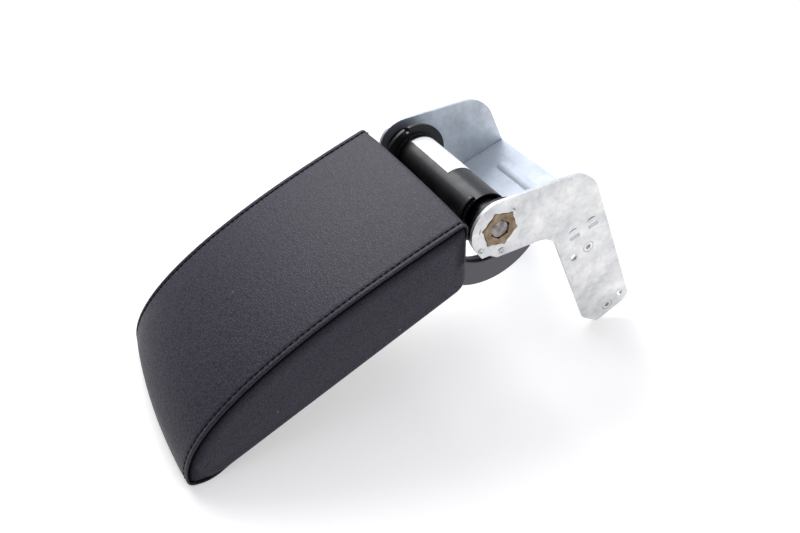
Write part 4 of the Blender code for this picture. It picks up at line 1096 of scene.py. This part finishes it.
def floor_material():
    surface = bpy.data.materials.new("white_floor")
    surface.use_nodes = True
    tree = surface.node_tree
    tree.nodes.clear()
    coords = tree.nodes.new("ShaderNodeTexCoord").outputs["Object"]
    across = add_node(tree, "ShaderNodeSeparateXYZ", {"Vector": coords}).outputs["Y"]
    # Painted shade: the floor's glow greys a little towards the back.
    shade = colours(tree, ramp(tree, across, 0.25, 1.1), (1.0, 1.0, 1.0), (0.88, 0.885, 0.90))
    white = add_node(tree, "ShaderNodeBsdfDiffuse", {"Color": (0.78, 0.76, 0.735, 1.0)})
    glow = add_node(tree, "ShaderNodeEmission", {"Color": shade})
    path = tree.nodes.new("ShaderNodeLightPath")
    seen = sums(tree, "MAXIMUM", path.outputs["Is Camera Ray"], path.outputs["Is Glossy Ray"])
    tree.links.new(sums(tree, "MULTIPLY", seen, FLOOR_GLOW), glow.inputs["Strength"])
    both = tree.nodes.new("ShaderNodeAddShader")
    tree.links.new(white.outputs["BSDF"], both.inputs[0])
    tree.links.new(glow.outputs["Emission"], both.inputs[1])
    out = tree.nodes.new("ShaderNodeOutputMaterial")
    tree.links.new(both.outputs["Shader"], out.inputs["Surface"])
    return surface


def floor():
    half = FLOOR_SIZE / 2
    mesh = bpy.data.meshes.new("floor")
    corners = [(-half, -half, 0), (half, -half, 0), (half, half, 0), (-half, half, 0)]
    mesh.from_pydata(corners, [], [(0, 1, 2, 3)])
    body = link("floor", mesh)
    mesh.materials.append(floor_material())


def world_light():
    world = bpy.data.worlds.new("studio")
    bpy.context.scene.world = world
    world.use_nodes = True
    tree = world.node_tree
    tree.nodes.clear()
    sight = tree.nodes.new("ShaderNodeTexCoord").outputs["Generated"]
    towards = {0: sight, 1: SKY_TOWARDS}
    share = add_node(tree, "ShaderNodeVectorMath", towards, operation="DOT_PRODUCT")
    sky = ramp(tree, share.outputs["Value"], 0.15, 0.75, SKY_DARKEST, SKY_BRIGHTEST)
    soft = add_node(tree, "ShaderNodeBackground", {"Color": (0.88, 0.91, 1.0, 1.0), "Strength": sky})
    white = add_node(tree, "ShaderNodeBackground", {"Color": (0.95, 0.955, 0.965, 1.0), "Strength": 1.0})
    path = tree.nodes.new("ShaderNodeLightPath")
    mix = add_node(tree, "ShaderNodeMixShader", {0: path.outputs["Is Camera Ray"]})
    tree.links.new(soft.outputs["Background"], mix.inputs[1])
    tree.links.new(white.outputs["Background"], mix.inputs[2])
    out = tree.nodes.new("ShaderNodeOutputWorld")
    tree.links.new(mix.outputs["Shader"], out.inputs["Surface"])


def soft_box(name, place, width, height, power):
    light = bpy.data.lights.new(name, "AREA")
    light.shape = "RECTANGLE"
    light.size = width
    light.size_y = height
    light.energy = power
    lamp = bpy.data.objects.new(name, light)
    lamp.location = place
    lamp.rotation_euler = (Vector(LIGHT_AIM) - Vector(place)).to_track_quat("-Z", "Y").to_euler()
    bpy.context.scene.collection.objects.link(lamp)


def photo_camera():
    """Camera built from its yaw, its pitch down and its roll, at its place from the hinge."""
    sight = Vector((math.sin(CAMERA_YAW) * math.cos(CAMERA_PITCH),
                    math.cos(CAMERA_YAW) * math.cos(CAMERA_PITCH), -math.sin(CAMERA_PITCH)))
    level = Vector((math.cos(CAMERA_YAW), -math.sin(CAMERA_YAW), 0.0))
    down = sight.cross(level)
    right = level * math.cos(CAMERA_ROLL) + down * math.sin(CAMERA_ROLL)
    up = level * math.sin(CAMERA_ROLL) - down * math.cos(CAMERA_ROLL)
    lens = bpy.data.cameras.new("photo_camera")
    lens.lens = CAMERA_LENS
    lens.sensor_width = 36.0
    camera = bpy.data.objects.new("photo_camera", lens)
    turn = Matrix((right, up, -sight)).transposed().to_4x4()
    camera.matrix_world = Matrix.Translation(HINGE + CAMERA_FROM_HINGE) @ turn
    bpy.context.scene.collection.objects.link(camera)
    bpy.context.scene.camera = camera


floor()
world_light()
soft_box("back_box", (-0.12, 0.92, 1.15), 1.0, 0.8, 16.0)
soft_box("front_box", (0.7, -1.6, 0.55), 1.2, 0.9, 9.5)
photo_camera()
bpy.context.scene.view_settings.view_transform = "Standard"
